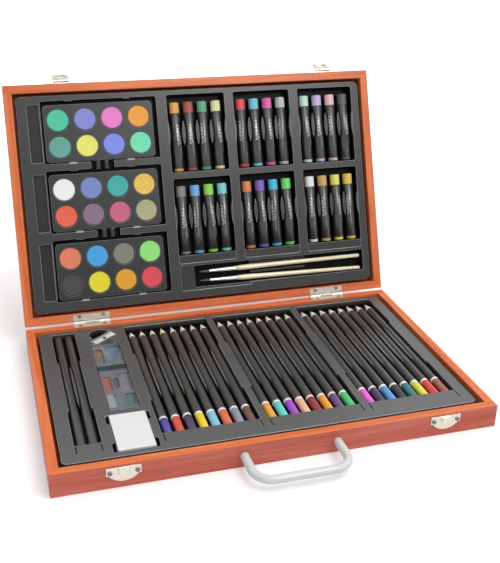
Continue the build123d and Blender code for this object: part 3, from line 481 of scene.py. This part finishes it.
def tinted(name, roughness, grain, depth, mottle, most=1.0, **sockets):
    # the colour comes from the piece, with a little unevenness. Its best share is most, and its least is
    # less by twice the mottle
    recipe = Recipe(name, Roughness=roughness, **sockets)
    cloud = recipe.noise(recipe.scaled(recipe.spot(), (grain,) * 3), 4.0, 0.6)
    shade = recipe.ramp(cloud, (0.25, (most * (1 - mottle * 2),) * 3 + (1,)), (0.7, (most,) * 3 + (1,)))
    recipe.feed("Base Color", recipe.mix(1.0, recipe.tint(), shade, "MULTIPLY"))
    recipe.bump(cloud, depth, 0.6)
    return recipe.material


halves = ("base", "lid")
for half in halves:
    long = stainedWood(f"stained board of the {half}, grain across", half)
    short = stainedWood(f"stained board of the {half}, grain front to back", half, math.pi / 2)
    for side, grain in (("front", long), ("rear", long), ("left", short), ("right", short)):
        easedCopy(f"{half}_{side}_board", grain, half, wood["ease"], 3)
    easedCopy(f"{half}_panel", long, half, wood["ease"])
    flat = formedSheet(f"black sheet of the {half}", half, (sheet["face"][half], sheet["worn"][half]))
    # the tray's eased edges take a painted highlight, a pale copy of the sheet
    rim = formedSheet(f"painted highlight on the edges of the {half}", half,
                      (sheet["rim"][half], sheet["worn"][half]))
    easedCopy(f"{half}_tray", flat, half, sheet["ease"], edgeHighlightMaterial=rim, thin=True)
print("case and trays made")

fittings = {
    "plate": ("#CBC3B7", "#E6E0D6"),
    # the lid's leaves are the same steel as the base's, made darker by painted shade
    "leaf": {"base": ("#B8B3A9", "#D8D3C9"), "lid": ("#97948A", "#BCB9AE")},
    "screw": ("#5E5B56", "#98948C"),
    "handle": ("#C6CAC9", "#D5D8D7"),
    "roughness": 0.3,
    "leafRoughness": 0.4,
    "ease": 0.12,
    "flapEase": 0.15,
    "handleEase": 0.4,
}
plated = {half: brightMetal(f"plated steel of the {half}", fittings["plate"], fittings["roughness"], half)
          for half in halves}
leaf = {half: brightMetal(f"hinge leaf of the {half}", fittings["leaf"][half], fittings["leafRoughness"],
                          half, metallic=0.8) for half in halves}
screw = {half: brightMetal(f"screw steel of the {half}", fittings["screw"], fittings["roughness"], half)
         for half in halves}
for node, metal in (("hinge_base_leaves", leaf), ("hinge_pins", leaf), ("strike_plates", plated)):
    easedCopy(node, metal["base"], "base", fittings["ease"])
for node, metal in (("hinge_lid_leaves", leaf), ("latch_plates", plated), ("latch_pins", plated)):
    easedCopy(node, metal["lid"], "lid", fittings["ease"])
for node in ("hinge_base_screws", "strike_screws", "handle_screws", "handle_washers"):
    easedCopy(node, screw["base"], "base", fittings["ease"])
for node in ("hinge_lid_screws", "latch_screws"):
    easedCopy(node, screw["lid"], "lid", fittings["ease"])
for side in ("left", "right"):
    flap = f"latch_flap_{side}"
    easedCopy(flap, plated["lid"], flap, fittings["flapEase"])
handlePaint = plainSurface("silver grey paint", fittings["handle"], "base", roughness=0.38, clouds=20.0,
                           grain=3000.0, depth=0.000006)
easedCopy("handle", handlePaint, "base", fittings["handleEase"], 3)
print("fittings made")

pencils = {
    "front": -79.8,
    "length": 180.0,
    "radius": 3.7,
    "axis": trayFace - 1.0 - 3.7,   # a radius and 1 mm under the tray's face
    "pitch": 10.15,
    "leadRadius": 1.5,       # where the colour starts on the sharpened cone
    "point": 15.0,
    "pointRadius": 0.35,
    "cap": 22.0,
    "ring": 2.6,
    "ringProud": 0.06,       # how far the ring stands out
    "ringStep": 0.05,        # and the length over which it rises
    "rounding": (0.15, 0.5),   # two steps of a pencil's rounded end
    "endFlat": 0.6,          # how much smaller its flat end is
    "tip": ((0.5, 0.5), (0.1, 0.25)),   # two places on the lead: before its end, and the radius there
    "barrel": "#4C4A48",
    "ringColour": "#F6F4EF",
    "coneColour": "#F3EBDC",
    "bays": {"left": -53.2, "middle": 35.8, "right": 124.8},
    "colours": {
        "left": ["#5446A4", "#D8503A", "#43335E", "#EFD625", "#86C8EC", "#E86C3A", "#8C94A4", "#744C3C"],
        "middle": ["#F0A638", "#64D4CC", "#A844CC", "#F6BC9A", "#962836", "#F4A428", "#664680", "#4CC878"],
        "right": ["#EE62D6", "#433060", "#58A0E0", "#322C34", "#247C7C", "#EAE650", "#E83C3C", "#A8644C"],
    },
}
paint = tinted("pencil paint", roughness=0.36, grain=0.5, depth=0.00001, mottle=0.05, most=0.94,
               Coat_Weight=0.3, Coat_Roughness=0.3)
bareWood = tinted("bare pencil wood", roughness=0.7, grain=1.5, depth=0.00004, mottle=0.08)
leadColour = tinted("pencil lead", roughness=0.55, grain=2.5, depth=0.00003, mottle=0.1)


def zonesToShapes(zones, place):
    # each zone is (places along, radii, material number, colour), carried round the pencil
    shapes = []
    for along, radii, material, shade in zones:
        points, quads = turned(along, radii)
        shapes.append((points, quads, place, material, srgb(shade)))
    return shapes


def pencilShapes(x, colour, look=pencils):
    # one profile along the pencil, cut into its zones: cap, ring, barrel, bare cone and lead. The lead
    # shows from where the cone is as thin as it
    y0, radius, lead = look["front"], look["radius"], look["leadRadius"]
    rear = y0 + look["length"]
    shoulder = rear - look["point"]
    slope = (radius - look["pointRadius"]) / look["point"]
    bare = shoulder + (radius - lead) / slope
    cap = y0 + look["cap"]
    ring = cap + look["ring"]
    near, far = look["rounding"]
    blunt, end = look["tip"]
    step, proud = look["ringStep"], radius + look["ringProud"]
    zones = [
        ([y0, y0, y0 + near, y0 + far, cap],
         [0, radius - look["endFlat"], radius - near, radius, radius], 0, colour),
        ([cap, cap + step, ring - step, ring], [radius, proud, proud, radius], 0, look["ringColour"]),
        ([ring, shoulder], [radius, radius], 0, look["barrel"]),
        (np.linspace(shoulder, bare, 4), np.linspace(radius, lead, 4), 1, look["coneColour"]),
        ([bare, rear - blunt[0], rear - end[0], rear], [lead, blunt[1], end[1], 0], 2, colour),
    ]
    return zonesToShapes(zones, [x, 0, look["axis"]])


for bay, centre in pencils["bays"].items():
    shapes = []
    colours = pencils["colours"][bay]
    for number, colour in enumerate(colours):
        shapes += pencilShapes(centre + (number - (len(colours) - 1) / 2) * pencils["pitch"], colour)
    makePiece(f"colouredPencils.{bay}", shapes, [paint, bareWood, leadColour], inBase,
              f"pencil_group_{bay}", (f"pencils_{bay}", f"pencil_leads_{bay}"))

drawing = {
    "centre": -153.7,
    "pitch": 9.8,
    "lead": "#3A3A3C",
    "leadRadius": 1.1,
    "barrel": "#424243",
    "wood": "#B09A66",
}


def drawingPencil(x, look=drawing):
    # a pencil that hasn't been sharpened: flat ends of bare wood with the lead flush
    y0, radius, lead = pencils["front"], pencils["radius"], look["leadRadius"]
    rear = y0 + pencils["length"]
    near, far = pencils["rounding"]
    zones = [
        ([y0, y0], [0, lead], 2, look["lead"]),
        ([y0, y0, y0 + near], [lead, radius - far, radius - near], 1, look["wood"]),
        ([y0 + near, y0 + far, rear - far, rear - near], [radius - near, radius, radius, radius - near], 0,
         look["barrel"]),
        ([rear - near, rear, rear], [radius - near, radius - far, lead], 1, look["wood"]),
        ([rear, rear], [lead, 0], 2, look["lead"]),
    ]
    return zonesToShapes(zones, [x, 0, pencils["axis"]])


shapes = []
for side in (-0.5, 0.5):
    shapes += drawingPencil(drawing["centre"] + side * drawing["pitch"])
makePiece("drawingPencils", shapes, [paint, bareWood, leadColour], inBase, "drawing_pencil_pair",
          ("drawing_pencils", "drawing_pencil_leads"))
print("pencils made")

eraser = {"rubber": ("#DADADA", "#DFDFDE"), "ease": 0.5}
rubberWhite = plainSurface("white eraser", eraser["rubber"], "base", roughness=0.6, clouds=30.0,
                           grain=1200.0, depth=0.00003)
easedCopy("eraser", rubberWhite, "eraser_block", eraser["ease"], 3)

sharpener = {
    "zinc": ("#8E9090", "#B4B6B6"),
    "zincLines": (200, 200, 900),
    "blade": ("#E4E6E6", "#FAFAFA"),
    "bladeLines": (900, 60, 900),
    "bodyEase": 0.2,
    "bladeEase": 0.08,
}
zinc = brightMetal("sharpener metal", sharpener["zinc"], 0.45, "base", sharpener["zincLines"],
                   metallic=0.5)
bladeSteel = brightMetal("blade steel", sharpener["blade"], 0.35, "base", sharpener["bladeLines"],
                         metallic=0.4)
easedCopy("sharpener_body", zinc, "sharpener", sharpener["bodyEase"])
easedCopy("sharpener_blade", bladeSteel, "sharpener", sharpener["bladeEase"])
easedCopy("sharpener_screw", screw["base"], "sharpener", fittings["ease"])

mixing = {
    "face": "#787B7E",
    # a dark painted reflection on the bar between the dishes
    "barReflection": "#2B2F2A",
    "dividerY": 31.6,
    "dividerWide": 9.0,
    "dividerFade": (0.4, 0.55),   # shares of that width over which it fades out
    "dividerMost": 0.9,
    "below": 0.8,            # its top under the tray's face
    "sink": 1.2,             # deeper than this under its top is a dish
    "deepest": 4,            # and deeper than this is its underside
    "smear": (120, 60, 60),  # per metre along x, y and z
    "smearShade": (0.72, 0.72, 0.72, 1),
    "smearDepth": 0.00015,   # metres
    "ease": 0.2,
    # middle and half sizes of each dish, and the painted reflection of the cakes in it
    "dishes": [
        (-125.2, 56.5, 3.9, 13.2, "#846E6A"),
        (-125.2, 6.6, 3.9, 12.2, "#AC6E66"),
        (-125.2, -20.8, 3.9, 11.2, "#A6AAAC"),
        (-109.4, 7.6, 4.5, 15.7, "#86848A"),
        (-109.4, -22.0, 4.5, 10.2, "#64797C"),
        (-117.4, 6.6, 2.6, 8.7, "#716C76"),
        (-112.3, 57.7, 6.9, 15.0, "#6C7F9C"),
    ],
}


def dishReflections(mesh, look=mixing):
    # each face sunk in a dish takes that dish's painted reflection of the cakes, and the others the tray's
    # colour
    centres = np.array([polygon.center for polygon in mesh.polygons]) / mm - [0, 0, case["halfHeight"]]
    x, y, z = centres.T
    colours = np.tile(srgb(look["face"]), (len(centres), 1))
    top = trayFace - look["below"]
    for middleX, middleY, halfX, halfY, shade in look["dishes"]:
        inside = (np.abs(x - middleX) < halfX) & (np.abs(y - middleY) < halfY) & (z < top - look["sink"])
        colours[inside & (z > top - look["deepest"])] = srgb(shade)
    setTint(mesh, np.repeat(colours, [polygon.loop_total for polygon in mesh.polygons], 0))


def clearDish(name, look=mixing):
    # glossy plastic with wide soft smears over the painted reflections in its faces' colours, and a dark
    # painted reflection on the bar between
    recipe = Recipe(name, Roughness=0.14, Coat_Weight=0.4, Coat_Roughness=0.06)
    own = recipe.own("base")
    smear = recipe.noise(recipe.scaled(own, look["smear"]), 3.0, 0.55, 1.2)
    shade = recipe.ramp(smear, (0.3, look["smearShade"]), (0.7, (1, 1, 1, 1)))
    fromBar = recipe.away(recipe.part(own, "Y"), look["dividerY"] * mm)
    fade = [look["dividerWide"] * share * mm for share in look["dividerFade"]]
    barReflectionShare = recipe.spread(fromBar, look["dividerMost"], 0.0, *fade)
    colour = recipe.mix(1.0, recipe.tint(), shade, "MULTIPLY")
    recipe.feed("Base Color", recipe.mix(barReflectionShare, colour, rgba(look["barReflection"])))
    recipe.bump(smear, look["smearDepth"], 0.5)
    return recipe.material


easedCopy("mixing_tray", clearDish("mixing tray"), "mixing_dish", mixing["ease"],
          colouring=dishReflections)
print("small things made")

palettes = {
    "x": -98.6,
    "first": 49.4,
    "pitch": 67.4,
    "pitchX": 26.4,
    "pitchY": 26.0,
    "radius": 10.5,
    "face": trayFace - 1.3,
    "below": 0.5,            # the cakes' top under the palette's face
    "thickness": 3.4,
    # the cake's profile at the top: what comes off its radius, and the height over its top
    "profile": ((0, -0.5), (0.15, -0.15), (0.5, 0), (1.4, -0.12), (3.0, -0.2)),
    "inRow": 4,
    "ease": 0.3,
    "plastic": ("#232425", "#2B2C2D"),
    # a painted highlight on the palettes' eased edges and well rims
    "edge": ("#7C7D7E", "#8E8F90"),
    "colours": {
        "upper": ["#55C8A4", "#8A90D8", "#EE86CE", "#F0A64C", "#68A89A", "#EEEC76", "#8494EC", "#7CE4B8"],
        "middle": ["#F6F6F4", "#7A90CC", "#48B2AC", "#F0C860", "#EE6852", "#907490", "#CC6C88", "#B4B48C"],
        "lower": ["#E88666", "#4CACEE", "#8A877C", "#9CEE86", "#4C4C4C", "#F0E638", "#F0AC36", "#EA5462"],
    },
}
cakeColour = tinted("pressed paint", roughness=0.75, grain=1.8, depth=0.00006, mottle=0.04,
                    Specular_IOR_Level=0.3)
palettePlastic = plainSurface("black moulded palette", palettes["plastic"], "lid", roughness=0.34,
                              clouds=20.0, grain=2000.0, Specular_IOR_Level=0.35)
paletteEdgeHighlight = plainSurface("painted highlight on palette edges", palettes["edge"], "lid", roughness=0.3, clouds=20.0,
                           grain=2000.0)


def cakeShape(x, y, colour, look=palettes):
    # a flat cake with a soft edge and a slightly hollow middle
    top, radius, under = look["face"] - look["below"], look["radius"], -look["thickness"]
    less, over = zip(*look["profile"])
    heights = [under, under, *over, over[-1]]
    radii = [0, radius, *(radius - value for value in less), 0]
    points, quads = turned(heights, radii, 40, "z")
    return points, quads, [x, y, top], 0, srgb(colour)


for number, level in enumerate(("lower", "middle", "upper")):
    body = f"paint_palette_{level}"
    easedCopy(f"palette_{level}", palettePlastic, body, palettes["ease"],
              edgeHighlightMaterial=paletteEdgeHighlight)
    shapes = []
    for place, colour in enumerate(palettes["colours"][level]):
        row, column = divmod(place, palettes["inRow"])
        x = palettes["x"] + (column - (palettes["inRow"] - 1) / 2) * palettes["pitchX"]
        y = palettes["first"] + number * palettes["pitch"] + (0.5 - row) * palettes["pitchY"]
        shapes.append(cakeShape(x, y, colour))
    makePiece(f"paintCakes.{level}", shapes, [cakeColour], inLid, body, (f"cakes_{level}",))
print("palettes made")

pastels = {
    "columnPitch": 69.4,
    "rowPitch": 84.1,
    "firstEnd": 55.3,
    "length": 69.5,
    "pitch": 14.4,
    "radius": 5.0,
    "wrapper": 0.35,
    "wrapperFromEnd": 3.2,
    "wrapperFromTip": 10.8,
    "slack": 0.05,           # between a stick and its sleeve
    "lip": 0.1,              # how much a sleeve's ends are eased
    "rounding": (0.3, 0.9),  # two steps of a stick's eased end
    "axis": trayFace - 0.9 - 5.35,   # a sleeve's radius and 0.9 mm under the tray's face
    "columns": 3,
    "inColumn": 4,
    "wrapperColour": "#262626",
    "print": "#C8C8C5",
    # each row of marks: across the paper, half width, marks per mm, from and to along it
    "printRows": ((-0.8, 1.15, 0.8, 27.0, 47.0), (1.5, 0.5, 1.5, 17.0, 40.0)),
    "printShare": 0.75,
    "printEdge": (0.44, 0.52),   # of the noise, over which a mark sets in
    "ridges": 9,             # soft flats round the paper
    "ridgeDepth": 0.01,
    "ridgeTurn": 1.7,        # radians from one sleeve's flats to the next one's
    "roll": 0.55,            # radians that a sleeve may be rolled either way
    "rollStep": 2.3,         # how fast the roll varies from sleeve to sleeve
    "colours": {
        "upper": ["#F0B25C", "#B05E54", "#6CAE8C", "#EEEEB0", "#E85458", "#7CD0EC", "#EC6CB2", "#C6C6C6",
                  "#CCF0E2", "#D2C0EC", "#F0CACA", "#646464"],
        "lower": ["#8A8A8A", "#76B2EA", "#94E25E", "#86DAE4", "#EA8A58", "#7E6EC2", "#4CC4E4", "#76E672",
                  "#F2F2F2", "#D8AE6C", "#EAEA60", "#ECC85C"],
    },
}
pastelColour = tinted("oil pastel", roughness=0.5, grain=0.7, depth=0.00005, mottle=0.05, most=0.86,
                      Specular_IOR_Level=0.25)


def wrapperPaper(name, look=pastels):
    # black paper, lighter and darker in long streaks along it, with rows of plain marks down its front
    recipe = Recipe(name, Roughness=0.3, Coat_Weight=0.3, Coat_Roughness=0.2)
    spot = recipe.spot()
    x, y, z = [recipe.part(spot, letter) for letter in "XYZ"]
    cloud = recipe.noise(recipe.scaled(spot, (0.5, 0.08, 0.5)), 4.0, 0.6)
    shade = recipe.ramp(cloud, (0.3, (0.7, 0.7, 0.7, 1)), (0.7, (1.4, 1.4, 1.4, 1)))
    colour = recipe.mix(1.0, recipe.tint(), shade, "MULTIPLY")
    for middle, halfWide, perMm, low, high in look["printRows"]:
        aside = recipe.away(x, middle)
        along = recipe.away(y, (low + high) / 2)
        onRow = recipe.sum("LESS_THAN", aside, halfWide)
        for test in (recipe.sum("LESS_THAN", along, (high - low) / 2), recipe.sum("GREATER_THAN", z, 0.0)):
            onRow = recipe.sum("MULTIPLY", onRow, test)
        marks = recipe.noise(recipe.scaled(spot, (0.3 * perMm, perMm, 0.01)), 0.0)
        mark = recipe.spread(marks, 0.0, look["printShare"], *look["printEdge"])
        share = recipe.sum("MULTIPLY", onRow, mark)
        colour = recipe.mix(share, colour, rgba(look["print"]))
    recipe.feed("Base Color", colour)
    recipe.bump(cloud, 0.00002, 0.6)
    return recipe.material


sleevePaper = wrapperPaper("pastel sleeve")


def stickShape(x, start, colour, look=pastels):
    # a stick with slightly eased ends
    radius, end = look["radius"], look["length"]
    near, far = look["rounding"]
    along = [0, 0, near, far, end - far, end - near, end, end]
    radii = [0, radius - far, radius - near, radius, radius, radius - near, radius - far, 0]
    points, quads = turned(along, radii, 28)
    return points, quads, [x, start, look["axis"]], 0, srgb(colour)


def wrapperShape(x, start, turn, look=pastels):
    # a thin paper tube: radius times 1 + depth * cos(ridges * angle + turn), rolled round its own line
    inner, outer, lip = look["radius"] + look["slack"], look["radius"] + look["wrapper"], look["lip"]
    y0, y1 = look["wrapperFromEnd"], look["length"] - look["wrapperFromTip"]
    along = [y0, y0, y0 + lip, y1 - lip, y1, y1, y0]
    radii = [inner, outer - lip, outer, outer, outer - lip, inner, inner]

    def ripple(angle):
        return look["ridgeDepth"] * (np.cos(look["ridges"] * angle + turn) - 1) / 2

    points, quads = turned(along, radii, 72, "y", ripple)
    roll = look["roll"] * math.sin(turn * look["rollStep"])
    rolled = np.stack([points[:, 0] * math.cos(roll) + points[:, 2] * math.sin(roll), points[:, 1],
                       points[:, 2] * math.cos(roll) - points[:, 0] * math.sin(roll)], -1)
    return points, quads, rolled - points + [x, start, look["axis"]], 0, srgb(look["wrapperColour"])


for row, level in enumerate(("lower", "upper")):
    offset = (pastels["inColumn"] - 1) / 2
    places = [column * pastels["columnPitch"] + (number - offset) * pastels["pitch"]
              for column in range(pastels["columns"]) for number in range(pastels["inColumn"])]
    start = pastels["firstEnd"] + row * pastels["rowPitch"]
    sticks = [stickShape(x, start, colour) for x, colour in zip(places, pastels["colours"][level])]
    body = f"pastel_row_{level}"
    makePiece(f"pastelSticks.{level}", sticks, [pastelColour], inLid, body,
              (f"pastels_{level}",))
    sleeves = [wrapperShape(x, start, pastels["ridgeTurn"] * number + row)
               for number, x in enumerate(places)]
    makePiece(f"pastelSleeves.{level}", sleeves, [sleevePaper], inLid, body,
              (f"pastel_wrappers_{level}",), smoothAngle=60)
print("pastels made")

brushes = {
    "starts": (27.0, 36.4),
    "ends": (23.6, 36.8),
    "axis": trayFace - 1.6 - 2.8,   # a belly's radius and 1.6 mm under the tray's face
    "start": 0.6,
    "ferrule": 28.4,
    "end": 167.4,
    "neck": 2.1,
    "belly": 2.8,
    "bellyAt": 13.0,
    "waist": 2.3,
    "waistAt": 62.0,
    "tail": 1.9,
    "inFerrule": 3,          # the handle's length in there, and its two radii
    "tang": (1.6, 1.8),
    "cream": "#FBEFCB",
    "hairRoot": "#5A4E38",
    "hairTip": "#8A7C5C",
    "tipLength": 11.0,
    "streaks": (60, 5000, 5000),
    "ferruleMetal": ("#E2E2E0", "#FAFAF8"),
    "ferruleEase": 0.05,
}
cream = tinted("cream gloss paint", roughness=0.3, grain=0.25, depth=0.00001, mottle=0.07, Coat_Weight=0.3,
               Coat_Roughness=0.15)


def brushHair(name, look=brushes):
    # darker at the root than at the tip, with fine streaks along it
    recipe = Recipe(name, Roughness=0.5)
    own = recipe.own("lid")
    tip, root = (look["start"] - look["tipLength"]) * mm, look["start"] * mm
    toTip = recipe.spread(recipe.part(own, "X"), 1.0, 0.0, tip, root)
    streak = recipe.noise(recipe.scaled(own, look["streaks"]), 2.0)
    colour = recipe.mix(toTip, rgba(look["hairRoot"]), rgba(look["hairTip"]))
    shade = recipe.ramp(streak, (0.3, (0.6, 0.6, 0.6, 1)), (0.7, (1.2, 1.2, 1.2, 1)))
    recipe.feed("Base Color", recipe.mix(1.0, colour, shade, "MULTIPLY"))
    return recipe.material


def brushHandle(number, look=brushes):
    # the handle's profile along X, turned in the lid's plane onto the brush's own line
    start, belly, end, tail = look["ferrule"], look["belly"], look["end"], look["tail"]
    inside, bellyAt = start - look["inFerrule"], look["bellyAt"]
    along = [inside, inside, start, start + 0.4, start + bellyAt * 0.5, start + bellyAt,
             start + bellyAt * 2, start + look["waistAt"], end - tail, end - tail * 0.6, end - tail * 0.2, end]
    radii = [0, *look["tang"], look["neck"], belly * 0.93, belly, belly * 0.92, look["waist"],
             tail, tail * 0.88, tail * 0.5, 0]
    points, quads = turned(along, radii, 24, "x")
    low, high = look["starts"][number], look["ends"][number]
    slant = math.asin((high - low) / (end - look["start"]))
    x, y = points[:, 0] - look["start"], points[:, 1]
    turnedX = look["start"] + x * math.cos(slant) - y * math.sin(slant)
    turnedY = x * math.sin(slant) + y * math.cos(slant)
    points = np.stack([turnedX, turnedY, points[:, 2]], -1)
    return points, quads, [0, low, look["axis"]], 0, srgb(look["cream"])


makePiece("brushHandles", [brushHandle(0), brushHandle(1)], [cream], inLid, "brush_pair",
          ("brush_handles",))
ferruleMetal = brightMetal("ferrule", brushes["ferruleMetal"], 0.3, "lid", metallic=0.5)
easedCopy("brush_ferrules", ferruleMetal, "brush_pair", brushes["ferruleEase"])
easedCopy("brush_hair", brushHair("brush hair"), "brush_pair", 0.0)
print("brushes made")

studio = {
    "floor": 0.86,
    "floorCorners": ((-6, -4), (8, 10)),
    "floorUnder": 0.0002,    # under the case, so that the two don't share a plane
    "glow": (0.16, 1.0),     # white that is seen on the floor but lights nothing, near and far
    "glowReach": (0.25, 1.2),    # metres from the base's middle where those two are
    "sky": (0.12, 1.05),     # the light from all round, low and high
    "skyReach": (0.12, 0.7),     # the direction's rise where those two are
    "skyRight": 0.55,        # how much of it is added on the right and taken off on the left
    "skySide": (-0.7, 0.7),      # the direction's part to the right where the least and most are
    # where each lamp is, where it points, its width and its power, and whether only gloss shows it
    "lamps": {
        "key": ((0.5, -0.75, 1.7), (0, 0.05, 0.08), 1.2, 10.5, False),
        "fill": ((-0.9, -0.5, 1.5), (0, 0.05, 0.1), 1.0, 3.0, False),
        "sheen": ((0.45, -0.9, 1.08), (0.08, 0.19, 0.2), 0.6, 12.0, True),
    },
}


def seenDirectly(nodes, links):
    # 1 where the camera, a reflection or a look through glass meets the surface, and otherwise 0
    path = nodes.new("ShaderNodeLightPath")
    total = path.outputs["Is Camera Ray"]
    for kind in ("Is Glossy Ray", "Is Transmission Ray"):
        larger = nodes.new("ShaderNodeMath")
        larger.operation = "MAXIMUM"
        links.new(total, larger.inputs[0])
        links.new(path.outputs[kind], larger.inputs[1])
        total = larger.outputs[0]
    return total


def addFloor(look=studio):
    # matt white, with a glow that is only seen: little by the case, where its shadow falls, and full
    # further off
    (left, front), (right, rear) = look["floorCorners"]
    corners = [(x, y, -look["floorUnder"])
               for x, y in ((left, front), (right, front), (right, rear), (left, rear))]
    floorMesh = bpy.data.meshes.new("floor")
    floorMesh.from_pydata(corners, [], [(0, 1, 2, 3)])
    floor = bpy.data.objects.new("floor", floorMesh)
    bpy.context.scene.collection.objects.link(floor)
    recipe = Recipe("floor", Roughness=0.9)
    recipe.shader.inputs["Base Color"].default_value = (look["floor"],) * 3 + (1,)
    recipe.shader.inputs["Emission Color"].default_value = (1, 1, 1, 1)
    seen = seenDirectly(recipe.nodes, recipe.links)
    source = recipe.add("ShaderNodeTexCoord").outputs["Object"]
    away = recipe.add("ShaderNodeVectorMath", {"operation": "LENGTH"})
    recipe.links.new(source, away.inputs[0])
    glow = recipe.spread(away.outputs["Value"], *look["glow"], *look["glowReach"])
    recipe.feed("Emission Strength", recipe.sum("MULTIPLY", seen, glow))
    floorMesh.materials.append(recipe.material)


def addWorld(look=studio):
    # white to look at, and lighting the case more from above and from the right
    world = bpy.data.worlds.new("studio")
    world.use_nodes = True
    bpy.context.scene.world = world
    nodes, links = world.node_tree.nodes, world.node_tree.links
    direction = nodes.new("ShaderNodeSeparateXYZ")
    links.new(nodes.new("ShaderNodeTexCoord").outputs["Generated"], direction.inputs[0])
    parts = []
    for letter, reach, ends in (("Z", look["skyReach"], look["sky"]),
                                ("X", look["skySide"], (1 - look["skyRight"], 1 + look["skyRight"]))):
        spread = nodes.new("ShaderNodeMapRange")
        links.new(direction.outputs[letter], spread.inputs["Value"])
        for name, value in zip(("From Min", "From Max", "To Min", "To Max"), (*reach, *ends)):
            spread.inputs[name].default_value = value
        parts.append(spread.outputs["Result"])
    product = nodes.new("ShaderNodeMath")
    product.operation = "MULTIPLY"
    for part, socket in zip(parts, product.inputs):
        links.new(part, socket)
    strength = nodes.new("ShaderNodeMix")
    links.new(seenDirectly(nodes, links), strength.inputs[0])
    links.new(product.outputs[0], strength.inputs[2])
    strength.inputs[3].default_value = 1.0
    background = nodes["Background"]
    background.inputs["Color"].default_value = (1, 1, 1, 1)
    links.new(strength.outputs[0], background.inputs["Strength"])


def addLamp(name, place, aim, size, power, onlyGloss):
    lamp = bpy.data.lights.new(name, "AREA")
    lamp.shape = "DISK"
    lamp.size = size
    lamp.energy = power
    holder = bpy.data.objects.new(name, lamp)
    bpy.context.scene.collection.objects.link(holder)
    holder.location = place
    holder.visible_diffuse = not onlyGloss
    holder.rotation_euler = (Vector(aim) - Vector(place)).to_track_quat("-Z", "Y").to_euler()


camera = {
    "eye": (-0.211994, -0.666101, 0.434828),
    "forward": (0.261375, 0.877013, -0.403152),
    "right": (0.960526, -0.277543, 0.018970),
    "focalPixels": 890.3,
    "centre": (234.3, 257.6),    # where the lens looks, in the 500 x 563 picture
    "picture": (500, 563),
    "sensor": 36,            # millimetres
    "nearest": 0.01,
}


def addCamera(look=camera):
    # the lens in millimetres is the focal length in pixels over the picture's width, times the sensor's
    lens = bpy.data.cameras.new("camera")
    holder = bpy.data.objects.new("camera", lens)
    bpy.context.scene.collection.objects.link(holder)
    back = -Vector(look["forward"]).normalized()
    up = back.cross(Vector(look["right"])).normalized()
    right = up.cross(back)
    turn = Matrix((right, up, back)).transposed().to_4x4()
    holder.matrix_world = Matrix.Translation(look["eye"]) @ turn
    wide, high = look["picture"]
    lens.sensor_fit = "HORIZONTAL"
    lens.sensor_width = look["sensor"]
    lens.lens = look["focalPixels"] / wide * lens.sensor_width
    lens.shift_x = (wide / 2 - look["centre"][0]) / wide
    lens.shift_y = (look["centre"][1] - high / 2) / wide
    lens.clip_start = look["nearest"]
    bpy.context.scene.camera = holder


addFloor()
addWorld()
for name, lamp in studio["lamps"].items():
    addLamp(name, *lamp)
addCamera()
bpy.context.scene.view_settings.view_transform = "Standard"
print("studio made")
